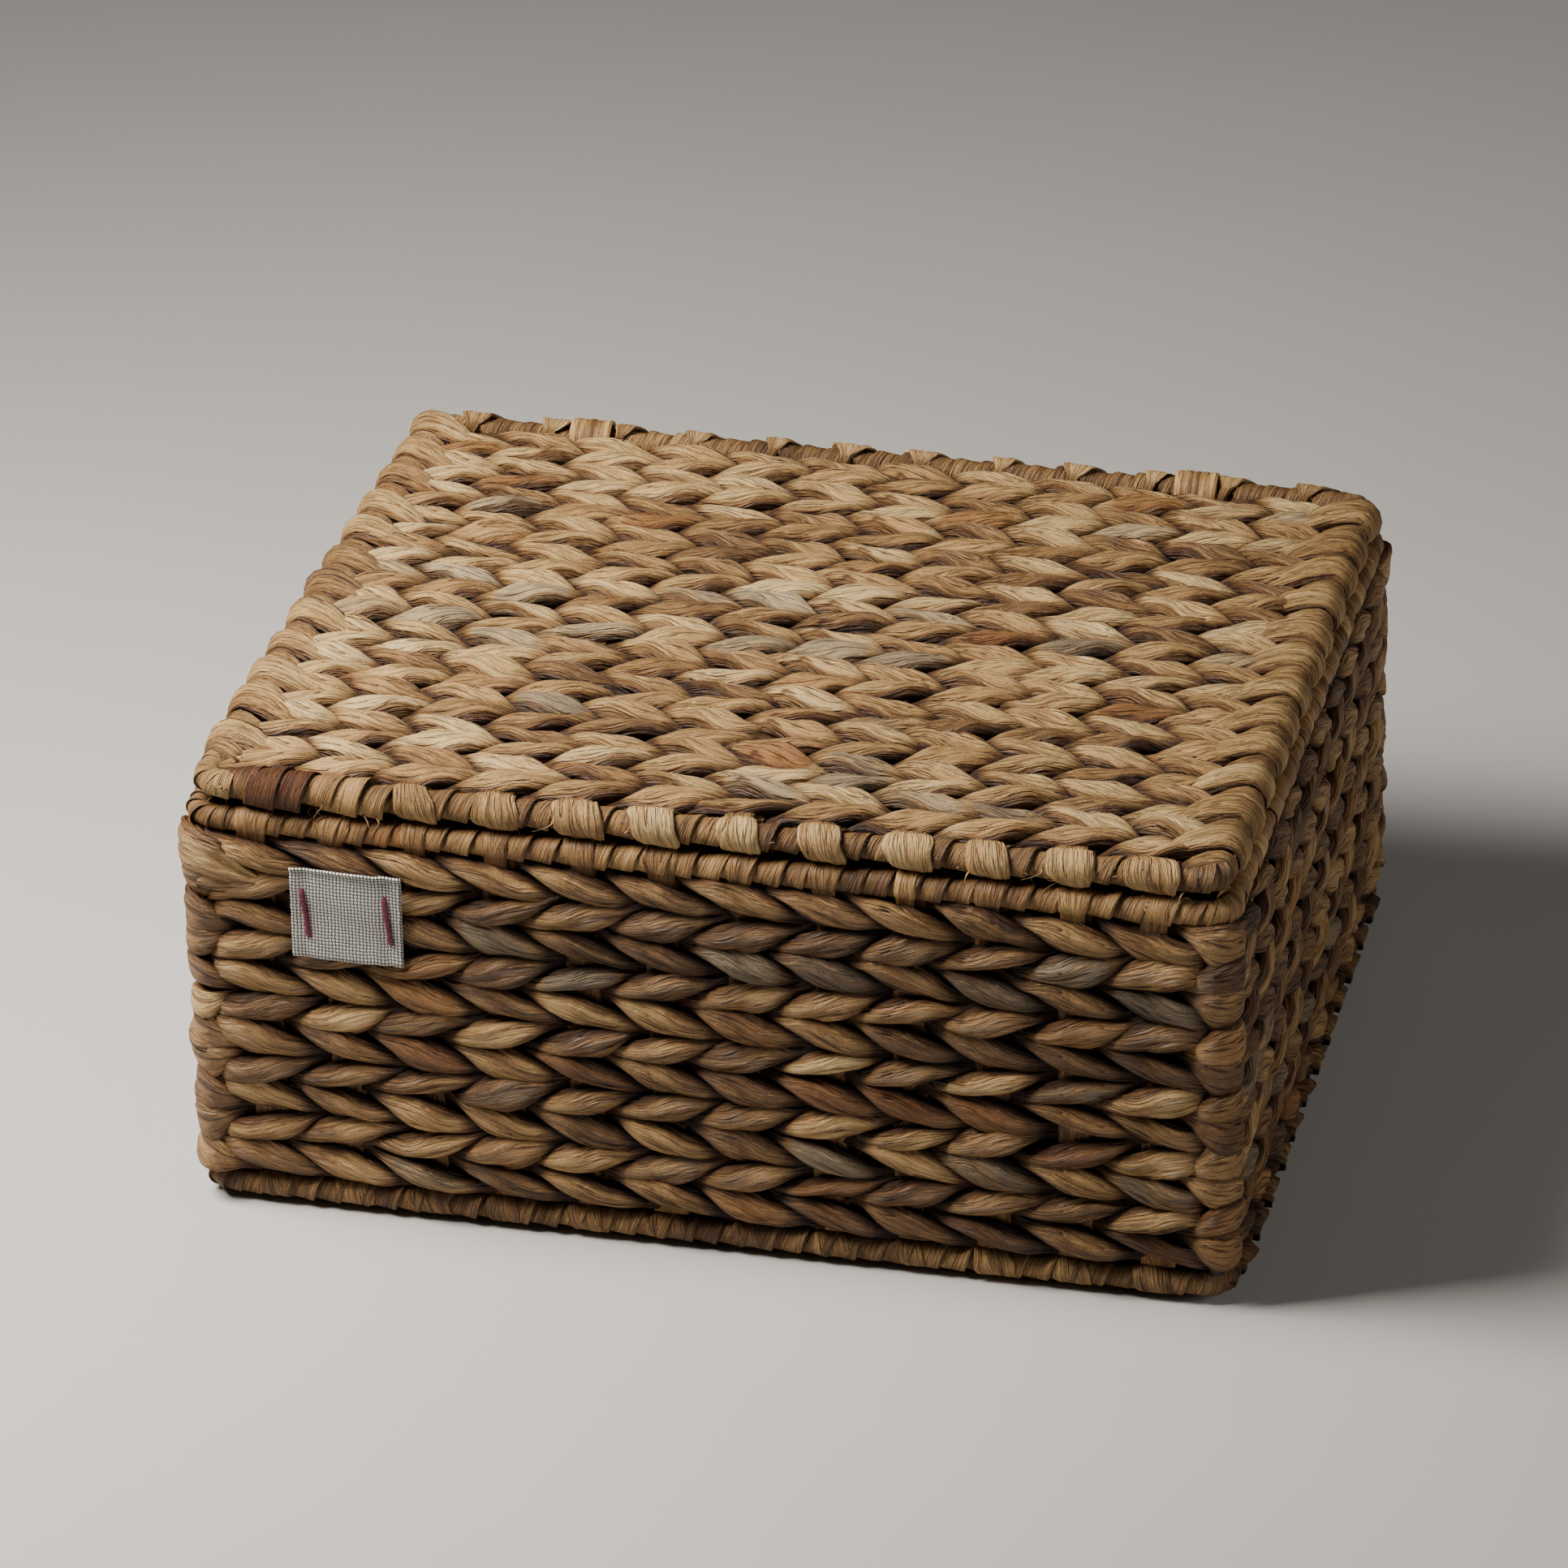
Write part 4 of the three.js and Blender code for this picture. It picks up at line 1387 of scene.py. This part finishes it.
def wraps(ring: str) -> list[str]:
    """The nodes of the strip wound round one ring's bends."""
    return [f"{ring}_corner_wrap_{corner}" for corner in CORNERS]


@dataclass
class Walls:
    """Four twined walls with their stakes and corner posts."""

    finish: Material
    strip: Material
    wire: Material
    line: WallLine = field(default_factory=WallLine)
    falling: Twine = Twine(rise=4.9)
    rising: Twine = Twine(wide=5.2, rise=4.0)
    pitch: float = 25.0
    # Well below the lid's tone as painted shade: the walls face sideways while the lid faces the light from above,
    # though both are the same hyacinth.
    tone: float = 0.39
    tone_spread: float = 0.14
    stake_width: float = 10.5
    stake_top: float = SIZES.rim_z - 3.0
    stake_bottom: float = 10.8
    wedge_course: int = 9

    def build(self) -> None:
        """Builds the courses, the stakes and the posts."""
        for course in range(SIZES.course_count):
            self.course(course)
        self.stakes()
        self.posts()

    def course(self, number: int) -> None:
        """Twines one course round all four walls.

        Args:
            number: Counted from the bottom.
        """
        mesh = SweptMesh(f"wall_course_{number + 1:02d}")
        weaver = Weaver(400 + number)
        z = SIZES.wall_bottom + (number + 0.5) * SIZES.course_pitch
        wave = Wander(60 + number)
        lean, twine = ((Lean.FALLING, self.falling), (Lean.RISING, self.rising))[number % 2]
        around = self.line.starts[-1]

        def line(u: Array) -> tuple[Array, Array, Array, float]:
            """Where the course's middle line is.

            Args:
                u: Places along it, in stakes.

            Returns:
                Points, outward and upward directions and the pitch in millimetres.
            """
            points, out = self.line.at(u)
            points[:, 2] = z + 0.5 * wave.at(np.mod(u, around) * 0.5)
            return points, out, UP, self.pitch

        for phase in (0, 1):
            start = self.line.starts[3] + phase
            looks = StitchLooks(weaver.rng, around, self.tone, self.tone_spread)
            looks.accent(phase, WALL_ACCENTS.get(number, ()))
            weaver.strand(mesh, line, (start, start + around), phase, lean, twine, looks, self.line.corner_share)
        if number == self.wedge_course:
            self.wedge(mesh)
        bound(mesh.piece(self.finish), "basket", "wall_strand", *(f"{side}_weave" for side in SIDES))

    def wedge(self, mesh: SweptMesh) -> None:
        """Folds the broad strand round the top of the front left corner.

        Args:
            mesh: Where it goes.
        """
        share = np.linspace(-1, 1, 31)
        points, out = self.line.at(48 + 0.15 + 1.08 * share)
        points[:, 2] = np.interp(share, [-1, -0.3, 0.2, 1], [119.0, 121.0, 120.5, 114.0])
        places = [-1, -0.75, -0.35, 0.0, 0.3, 0.7, 1]
        half_wide = np.interp(share, places, [1.5, 7.0, 10.0, 10.6, 9.2, 4.2, 0.8])
        wide = unit(-np.cross(out, heading(points)))
        wander, sides = Wander(77), 36
        swells = wander.around(share * 1.4, sides, 3.1)
        valleys = smooth_step(wander.around(share * 1.2, sides, 5.3, 300), 0.3, 0.8)
        bow, half_thin = 5.2 - 1.6 * share**4, 2.3 - 1.2 * share**4
        # Painted shade towards both ends of the broad strand, and deep between it and its neighbours.
        painted_shade = smooth_step(np.abs(share), 0.8, 1.0) * 0.7
        form = (points + out * bow[:, None], wide, out, half_wide, half_thin)
        look = (0.56, 0.42, painted_shade, share * 27 + 4100, 0.5 * swells - 1.0 * valleys)
        mesh.add(Sweep(*form, *look, sides, 0.75, (10.0, 3.0), len(share), points, out))

    def stakes(self) -> None:
        """Models one stake and copies it round the walls."""
        top, bottom = self.stake_top, self.stake_bottom
        size = (self.stake_width, SIZES.stake_thick, top - bottom)
        stake = flat_stake((0, 0, (top + bottom) / 2), size, 3, self.strip)
        for side, name in enumerate(SIDES):
            first, last = self.line.starts[side : side + 2]
            turned = [
                Matrix.Translation(Vector(place) * MM) @ Matrix.Rotation(math.atan2(out[0], -out[1]), 4, "Z")
                for place, out in zip(*self.line.at(np.arange(first + 1.0, last)))
            ]
            bound(copied(stake, turned, f"{name}_stake_strips"), "basket", "stake_fibre", f"{name}_stakes")
        bpy.data.objects.remove(stake)

    def posts(self) -> None:
        """Makes the four round corner posts."""
        for side in range(4):
            place = self.line.at(np.array([float(self.line.starts[side])]))[0][0]
            location = (place[0] * MM, place[1] * MM, SIZES.post_z * MM)
            size = {"radius": SIZES.post_radius * MM, "depth": SIZES.post_length * MM}
            deselect()
            bpy.ops.mesh.primitive_cylinder_add(vertices=24, location=location, **size)
            post = bpy.context.object
            bpy.ops.object.mode_set(mode="EDIT")
            bpy.ops.mesh.select_all(action="SELECT")
            bpy.ops.mesh.bevel(offset=0.5 * MM, segments=2)
            bpy.ops.object.mode_set(mode="OBJECT")
            post.name = f"corner_post_bar_{CORNERS[side - 1]}"
            settle(post)
            bpy.ops.object.shade_smooth_by_angle(angle=math.radians(40))
            post.data.materials.append(self.wire)
            bound(post, "basket", "steel_wire", f"corner_post_{CORNERS[side - 1]}")


@dataclass
class Rim:
    """The wound strip of the rim and the straps that the stakes make over it."""

    finish: Material
    line: WireLine = WireLine(SIZES.ring_x, -SIZES.ring_y, SIZES.ring_y, SIZES.rim_z)
    tone: float = 0.34
    strap_tone: float = 0.38
    strap_radius: float = 4.2
    strap_thickness: float = 1.0
    ends: tuple[float, float] = (-20.0, -16.0)

    def build(self) -> None:
        """Winds the rim and folds the stakes over it."""
        mesh = SweptMesh("rim_winding")

        def look(s: Array, tone: Array, hue: Array) -> tuple[Array, Array]:
            """Reddens two stretches of the front."""
            red = stretch(s, 40, 46, 60, 66) + 0.8 * stretch(s, 108, 112, 118, 124)
            return tone - 0.04 * red, hue * (1 - red) + 0.97 * red

        half = self.line.length() / 2
        Winding().lay(mesh, self.line, (-half + self.ends[0], half + self.ends[1]), 71, self.tone, look)
        walls, rng = WallLine(), np.random.default_rng(17)
        for u in range(walls.starts[-1]):
            if u in walls.starts:
                continue
            place, out = (rows[0] for rows in walls.at(np.array([float(u)])))
            place[2] = SIZES.rim_z
            strap = Strap(self.strap_radius, rng.uniform(7.5, 13.0), self.strap_thickness)
            shade = (rng.normal(self.strap_tone, 0.08), rng.uniform(0.2, 0.8))
            strap.lay(mesh, place, np.array([-out[1], out[0], 0.0]), -UP, rng, shade, rng.normal(0, 2))
        stakes = [f"{side}_stakes" for side in SIDES]
        bound(mesh.piece(self.finish), "basket", "wrap_fibre", *stakes, *wraps("rim"))


@dataclass
class FlatPanel:
    """A flat twined panel: the floor, whose weave faces down."""

    finish: Material
    strip: Material
    wire: WireLine = WireLine(SIZES.ring_x, -SIZES.ring_y, SIZES.ring_y, SIZES.base_z)
    name: str = "base"
    body: str = "basket"
    slot: str = "base_strand"
    front: float = SIZES.base_front
    row_pitch: float = SIZES.base_row_pitch
    facing: int = -1
    twine: Twine = Twine(2.5, wide=5.2, thick=2.6, rings=8, sides=16)
    tone: float = 0.45
    seed: int = 700
    sunk: float = -0.6
    fullness: float = 0.44
    edge_reach: float = 14.0
    rows_per_piece: int = 4
    last_row_forward: float = 2.3
    end_sunk: float = 1.5
    stitch_pitch: float = 25.4
    stake_width: float = 8.0

    def build(self) -> None:
        """Builds the rows, their loops, the stakes and the bound front and back edges."""
        for first in range(0, SIZES.row_count, self.rows_per_piece):
            self.rows(first, first + self.rows_per_piece)
        self.loops()
        self.stakes()
        self.edges()

    def accents(self, row: int) -> tuple[tuple[int, float, float], ...]:
        """The row's stitches of an unusual colour, of which the floor has none."""
        return ()

    def rows(self, first: int, last: int) -> None:
        """Twines some of the rows from side to side.

        Args:
            first: The first row, counted from the front.
            last: One past the last row.
        """
        mesh = SweptMesh(f"{self.name}_rows_{first + 1:02d}_{last:02d}")
        middle = (SIZES.stake_count + 1) / 2
        for row in range(first, last):
            weaver, wave = Weaver(self.seed + row), Wander(self.seed + 90 + row)
            y = self.front + (row + 0.5) * self.row_pitch - self.last_row_forward * (row == SIZES.row_count - 1)

            def line(u: Array) -> tuple[Array, Array, Array, float]:
                """Where the row's middle line is, sunk at its ends.

                Args:
                    u: Places along it, in stakes.

                Returns:
                    Points, outward and upward directions and the pitch in millimetres.
                """
                sunk = self.facing * self.end_sunk * smooth_step(np.abs(u - middle), 5.4, 6.1) + self.sunk
                z = self.wire.z + 0.35 * wave.at(u * 0.4, 3) - sunk
                points = np.stack([SIZES.stake_x(u), y + 0.8 * wave.at(u * 0.5), z], -1)
                return points, UP * self.facing, BACK, self.stitch_pitch

            lean = Lean.RISING if row % 2 == 0 else Lean.FALLING
            for phase, span in enumerate(((0.9, 12.6), (0.4, 12.1))):
                looks = StitchLooks(weaver.rng, 64, self.tone, 0.16).accent(phase, self.accents(row))
                weaver.strand(mesh, line, span, phase, lean, self.twine, looks)
        bound(mesh.piece(self.finish), self.body, self.slot, f"{self.name}_weave")

    def loops(self) -> None:
        """Turns the row ends over both side wires."""
        for side, word, share in ((1, "right", 1.0), (-1, "left", 1.9)):
            mesh = SweptMesh(f"{self.name}_loops_{word}")
            first = self.front + self.row_pitch * share
            ends = RowEnds(self.wire, self.facing, first, self.row_pitch * 2, self.fullness, self.tone)
            ends.lay(mesh, side, np.random.default_rng(self.seed + 300 + side))
            bound(mesh.piece(self.finish), self.body, self.slot, f"{self.name}_weave")

    def stakes(self) -> None:
        """Models one stake and copies it across the panel."""
        front, back = self.wire.front, self.wire.back
        size = (self.stake_width, back - front, SIZES.stake_thick)
        stake = flat_stake((0, (front + back) / 2, self.wire.z), size, 5, self.strip)
        numbers = range(1, SIZES.stake_count + 1)
        places = [Matrix.Translation((SIZES.stake_x(number) * MM, 0, 0)) for number in numbers]
        bound(copied(stake, places, f"{self.name}_stake_strips"), self.body, "stake_fibre", f"{self.name}_stakes")
        bpy.data.objects.remove(stake)

    def look(self, s: Array, tone: Array, hue: Array) -> tuple[Array, Array]:
        """The front winding's tone and hue by distance along the wire."""
        return tone + 0.12, hue * 0.5 + 0.45

    def swell(self, s: Array) -> Array:
        """The front winding's extra radius by distance along the wire."""
        return np.zeros_like(s)

    def knob(self, rng: np.random.Generator) -> tuple[Strap, float]:
        """The strap that a stake makes over a wire, and how much lighter it is than the panel."""
        return Strap(3.9, rng.uniform(9, 13), 1.2), -0.16

    def has_knob(self, number: int, is_front: bool) -> bool:
        """Whether a stake shows a strap at this end."""
        return True

    def edges(self) -> None:
        """Winds the front and back wires and the bends, and folds the stakes over them."""
        mesh = SweptMesh(f"{self.name}_edge_winding")
        straight = 2 * (self.wire.half_x - SIZES.bend_radius)
        side, reach = (self.wire.length() - 2 * straight) / 2, self.edge_reach
        rng, tone = np.random.default_rng(self.seed + 500), self.tone - 0.24
        front = (-reach - 14, straight + reach)
        back = (straight + side - reach, 2 * straight + side + reach)
        Winding().lay(mesh, self.wire, front, self.seed + 40, tone, self.look, self.swell)
        Winding().lay(mesh, self.wire, back, self.seed + 41, tone)
        for number in range(1, SIZES.stake_count + 1):
            for y, way in ((self.wire.front, 1.0), (self.wire.back, -1.0)):
                if not self.has_knob(number, way > 0):
                    continue
                centre = np.array([SIZES.stake_x(number) + rng.normal(0, 0.8), y, self.wire.z])
                knob, lift = self.knob(rng)
                shade = (rng.normal(self.tone + lift, 0.09), rng.uniform(0.25, 0.8))
                knob.lay(mesh, centre, RIGHT, BACK * way, rng, shade, way * rng.uniform(4, 9))
        self.wisps(mesh)
        bound(mesh.piece(self.finish), self.body, "wrap_fibre", f"{self.name}_stakes", *wraps(self.name))

    def wisps(self, mesh: SweptMesh) -> None:
        """Adds loose fibres to the edges, of which the floor has none."""


@dataclass
class LidPanel(FlatPanel):
    """The woven lid, whose front edge is frayed, reddened and knobbed."""

    wire: WireLine = WireLine(SIZES.lid_wire_x, SIZES.lid_wire_front, SIZES.ring_y, SIZES.lid_z)
    name: str = "lid"
    body: str = "lid"
    slot: str = "lid_strand"
    front: float = SIZES.lid_front
    row_pitch: float = SIZES.lid_row_pitch
    facing: int = 1
    twine: Twine = Twine(sides=28, unevenness=1.35)
    # Well above the walls' tone as painted light: the lid faces the light from above, though both are the same
    # hyacinth.
    tone: float = 0.62
    seed: int = 900
    sunk: float = 0.0
    fullness: float = 1.0
    frays: tuple[tuple[int, int, int], ...] = ((-4, 6, 6), (26, 50, 30), (60, 240, 22), (240, 300, 22))

    def accents(self, row: int) -> tuple[tuple[int, float, float], ...]:
        """The row's stitches of an unusual colour."""
        return LID_ACCENTS.get(row, ())

    def look(self, s: Array, tone: Array, hue: Array) -> tuple[Array, Array]:
        """The front winding's tone and hue: red by the left corner, then frayed and pale.

        Args:
            s: Distances along the wire.
            tone: Its tones.
            hue: Its hues.

        Returns:
            The changed tones and hues.
        """
        red, frayed = stretch(s, 6, 8, 25, 27), stretch(s, 27, 29, 46, 49)
        tone = tone - 0.34 * red + 0.26 * frayed + 0.30 * stretch(s, -30, -12, -2, 4)
        return tone, hue * (1 - red) * (1 - 0.6 * frayed) + 1.06 * red + 0.5 * frayed

    def swell(self, s: Array) -> Array:
        """The front winding's extra radius by distance along the wire."""
        return 2.3 * stretch(s, 5, 9, 24, 28) + 1.7 * stretch(s, 28, 32, 46, 50)

    def knob(self, rng: np.random.Generator) -> tuple[Strap, float]:
        """The strap that a stake makes over a wire, and how much lighter it is than the panel."""
        return Strap(4.5, rng.uniform(11, 17), 2.0, 0.45, True), 0.0

    def has_knob(self, number: int, is_front: bool) -> bool:
        """Whether a stake shows a strap at this end: the red strip hides the first two in front."""
        return not (is_front and number <= 2)

    def wisps(self, mesh: SweptMesh) -> None:
        """Adds loose fibres to the front edge."""
        for first, last, count in self.frays:
            Wisps().lay(mesh, self.wire, (first, last), count, self.seed + 60 + count)


@dataclass
class Lashings:
    """Two wound lashings that hinge the lid's back wire to the rim's."""

    finish: Material
    turns: int = 5
    steps: int = 32
    width: float = 16.0
    radius: float = 6.2
    strip_width: float = 3.5
    strip_thickness: float = 1.5

    def build(self) -> None:
        """Winds both lashings round the two wires."""
        for x, word in ((-SIZES.lashing_x, "left"), (SIZES.lashing_x, "right")):
            mesh = SweptMesh(f"hinge_lashing_winding_{word}")
            t = np.linspace(0, self.turns, self.turns * self.steps + 1)
            wander = Wander(300 + int(x))
            radius = self.radius + 0.2 * wander.at(t * 2.3)
            gap, half_round = SIZES.lid_z - SIZES.rim_z, np.pi * 6.3
            marks = np.array([0, gap, gap + half_round, 2 * gap + half_round, 2 * half_round + 2 * gap])
            run = np.mod(t, 1.0) * marks[-1]
            angle = np.interp(run, marks, [0, 0, np.pi, np.pi, 2 * np.pi])
            z = np.interp(run, marks, [SIZES.rim_z, SIZES.lid_z, SIZES.lid_z, SIZES.rim_z, SIZES.rim_z])
            radial = np.stack([np.zeros(len(t)), np.cos(angle), np.sin(angle)], -1)
            across = x + (t / self.turns - 0.5) * (self.width - 3.4) + 0.3 * wander.at(t * 1.7, 2)
            centres = np.stack([across, np.full(len(t), SIZES.ring_y), z], -1) + radial * radius[:, None]
            look = (0.42 + 0.1 * wander.at(t), 0.5 + 0.2 * wander.at(t, 6), 0.1, t * marks[-1])
            folds = 0.12 * wander.around(t * 3, 10, 4.1)
            form = (centres, RIGHT, radial, self.strip_width / 2, self.strip_thickness / 2)
            mesh.add(Sweep(*form, *look, folds, 10, 0.8, (1.8, 0.8), self.steps))
            bound(mesh.piece(self.finish), "basket", "lashing_fibre", f"hinge_lashing_{word}")


@dataclass
class Label:
    """The small cotton label and the two thread stitches that hold it."""

    cloth: Material
    thread: Material
    width: float = 35.0
    height: float = 30.5
    thickness: float = 0.8
    centre: tuple[float, float, float] = (-110.2, -136.6, 107.4)
    tilt: float = 0.4
    thread_x: float = 13.0
    thread_length: float = 18.0
    thread_twist: float = 9.0
    hem: float = 2.2

    def swell(self, x: Array, z: Array) -> Array:
        """How far the cloth stands out from its plane.

        Args:
            x: Places across the label, from its middle.
            z: Places up it.

        Returns:
            Distances to the front.
        """
        held = np.exp(-(((np.abs(x) - self.thread_x) / 2.2) ** 2))
        wave = 0.35 * np.sin(x * 0.21 + 0.6) * (0.5 + z / self.height) + 0.22 * np.sin(z * 0.33 + x * 0.08)
        roll = 0.75 * np.clip((z - self.height / 2 + self.hem) / self.hem, 0, 1) ** 2
        return wave + roll - 0.45 * held

    def placed(self, x: Array, y: Array, z: Array) -> Array:
        """Puts points of the label's own plane on the wall.

        Args:
            x: Places across the label, from its middle.
            y: Distances to its front.
            z: Places up it.

        Returns:
            The points in millimetres.
        """
        cos, sin = math.cos(math.radians(self.tilt)), math.sin(math.radians(self.tilt))
        left, front, low = self.centre
        return np.stack([left + x * cos + z * sin, front - y, low - x * sin + z * cos], -1)

    def build(self) -> None:
        """Builds the cloth and both stitches."""
        deselect()
        bpy.ops.mesh.primitive_grid_add(x_subdivisions=46, y_subdivisions=40, size=1, calc_uvs=True)
        patch = bpy.context.object
        patch.name = patch.data.name = "label_cloth"
        patch.data.uv_layers[0].name = "cloth"
        corners = np.zeros(len(patch.data.vertices) * 3)
        patch.data.vertices.foreach_get("co", corners)
        x, z = corners[0::3] * self.width, corners[1::3] * self.height
        edge = Wander(12)
        x = x * (1 + 0.006 * edge.at(z * 0.5))
        z = z * (1 + 0.01 * edge.at(x * 0.35, 2))
        patch.data.vertices.foreach_set("co", (self.placed(x, self.swell(x, z), z) * MM).ravel())
        bpy.ops.object.mode_set(mode="EDIT")
        bpy.ops.mesh.select_all(action="SELECT")
        bpy.ops.mesh.normals_make_consistent(inside=False)
        bpy.ops.object.mode_set(mode="OBJECT")
        solid = patch.modifiers.new("thickness", "SOLIDIFY")
        solid.thickness, solid.offset = self.thickness * MM, 0.0
        bpy.ops.object.modifier_apply(modifier=solid.name)
        bpy.ops.object.shade_smooth()
        patch.data.materials.append(self.cloth)
        bound(patch, "basket", "label_cotton", "label_patch")
        stitches = [self.stitch(side, word) for side, word in ((-1, "left"), (1, "right"))]

    def stitch(self, side: int, word: str) -> Piece:
        """Lays the threads of one stitch.

        Args:
            side: 1 for the right one, -1 for the left.
            word: Its word in names.

        Returns:
            The piece.
        """
        mesh = SweptMesh(f"label_thread_{word}")
        t = np.linspace(-1, 1, 49)
        z = t * self.thread_length / 2
        lifted = self.swell(np.full(len(t), side * self.thread_x), z)
        for strand in range(3):
            twist = t * self.thread_twist + strand * 2 * np.pi / 3
            x = side * self.thread_x - t + 0.42 * np.cos(twist)
            rise = 0.85 + 0.30 * np.sin(twist) - 1.7 * np.abs(t) ** 10
            form = (self.placed(x, lifted + rise, z), RIGHT, -BACK, 0.52, 0.46)
            mesh.add(Sweep(*form, 0.0, 0.0, 0.0, z + strand * 40, sides=8, cross=(0.4, 0.4), rings_per_tile=48))
        return bound(mesh.piece(self.thread), "basket", "label_thread", f"label_stitch_{word}")


@dataclass
class Studio:
    """Camera, floor and soft light, in metres, degrees and watts."""

    position: tuple[float, float, float] = (0.520, -2.085, 1.236)
    azimuth: float = 14.18
    elevation: float = 27.99
    roll: float = -1.26
    lens: float = 176.5
    floor_size: float = 12.0
    aim: tuple[float, float, float] = (0, 0, 0.08)
    air: tuple[float, ...] = (1.0, 0.97, 0.93, 1)
    air_strength: float = 0.02

    def camera(self) -> None:
        """Sets the camera where the photograph was taken from."""
        a, e, r = (math.radians(v) for v in (self.azimuth, self.elevation, self.roll))
        back = Vector((math.sin(a) * math.cos(e), -math.cos(a) * math.cos(e), math.sin(e)))
        right = Vector((0, 0, 1)).cross(back).normalized()
        up = back.cross(right)
        right, up = right * math.cos(r) + up * math.sin(r), up * math.cos(r) - right * math.sin(r)
        data = bpy.data.cameras.new("camera")
        data.lens, data.sensor_width, data.clip_end = self.lens, 36.0, 50.0
        camera = bpy.data.objects.new("camera", data)
        bpy.context.scene.collection.objects.link(camera)
        camera.matrix_world = Matrix.Translation(self.position) @ Matrix((right, up, back)).transposed().to_4x4()
        bpy.context.scene.camera = camera

    def floor(self) -> None:
        """Lays the floor."""
        deselect()
        bpy.ops.mesh.primitive_plane_add(size=self.floor_size)
        floor = bpy.context.object
        floor.name = "studio_floor"
        floor.data.materials.append(FloorFinish().material())

    def light(
        self,
        name: str,
        place: tuple[float, float, float],
        power: float,
        size: float,
        colour: tuple[float, float, float],
    ) -> None:
        """Hangs one soft light that faces the basket.

        Args:
            name: Its name.
            place: Where it hangs.
            power: Its power.
            size: Its side.
            colour: Its colour.
        """
        data = bpy.data.lights.new(name, "AREA")
        data.energy, data.size, data.color = power, size, colour
        lamp = bpy.data.objects.new(name, data)
        bpy.context.scene.collection.objects.link(lamp)
        lamp.location = place
        lamp.rotation_euler = (Vector(place) - Vector(self.aim)).to_track_quat("Z", "Y").to_euler()

    def build(self) -> None:
        """Sets up the whole studio."""
        self.camera()
        self.floor()
        self.light("key", (-0.46, -0.22, 0.76), 19.0, 0.38, (1.0, 0.95, 0.88))
        self.light("side", (1.6, -0.1, 0.6), 8.0, 0.7, (1.0, 0.97, 0.93))
        world = bpy.data.worlds.new("studio")
        world.use_nodes = True
        background = world.node_tree.nodes["Background"].inputs
        background[0].default_value, background[1].default_value = self.air, self.air_strength
        bpy.context.scene.world = world


def main() -> None:
    """Builds the basket from its frame outwards, and the studio."""
    logging.basicConfig(level=logging.INFO, format="%(message)s")
    groups = StemGroups()
    wire = WireFinish().material()
    Studio().build()
    for node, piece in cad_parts.items():
        if node.endswith("_wire"):
            piece.data.materials.clear()
            piece.data.materials.append(wire)
    wall = StrandFinish("wall_hyacinth", groups).material()
    wrap = StrandFinish("wound_hyacinth", groups, 0.6).material()
    standing = StripFinish("standing_stake", groups, Grain.ALONG_Z).material()
    lying = StripFinish("lying_stake", groups, Grain.ALONG_Y).material()
    Walls(wall, standing, wire).build()
    Rim(wrap).build()
    FlatPanel(wall, lying).build()
    LidPanel(StrandFinish("lid_hyacinth", groups).material(), lying).build()
    Lashings(wrap).build()
    Label(ClothFinish().material(), ThreadFinish().material()).build()


if __name__ == "__main__":
    main()
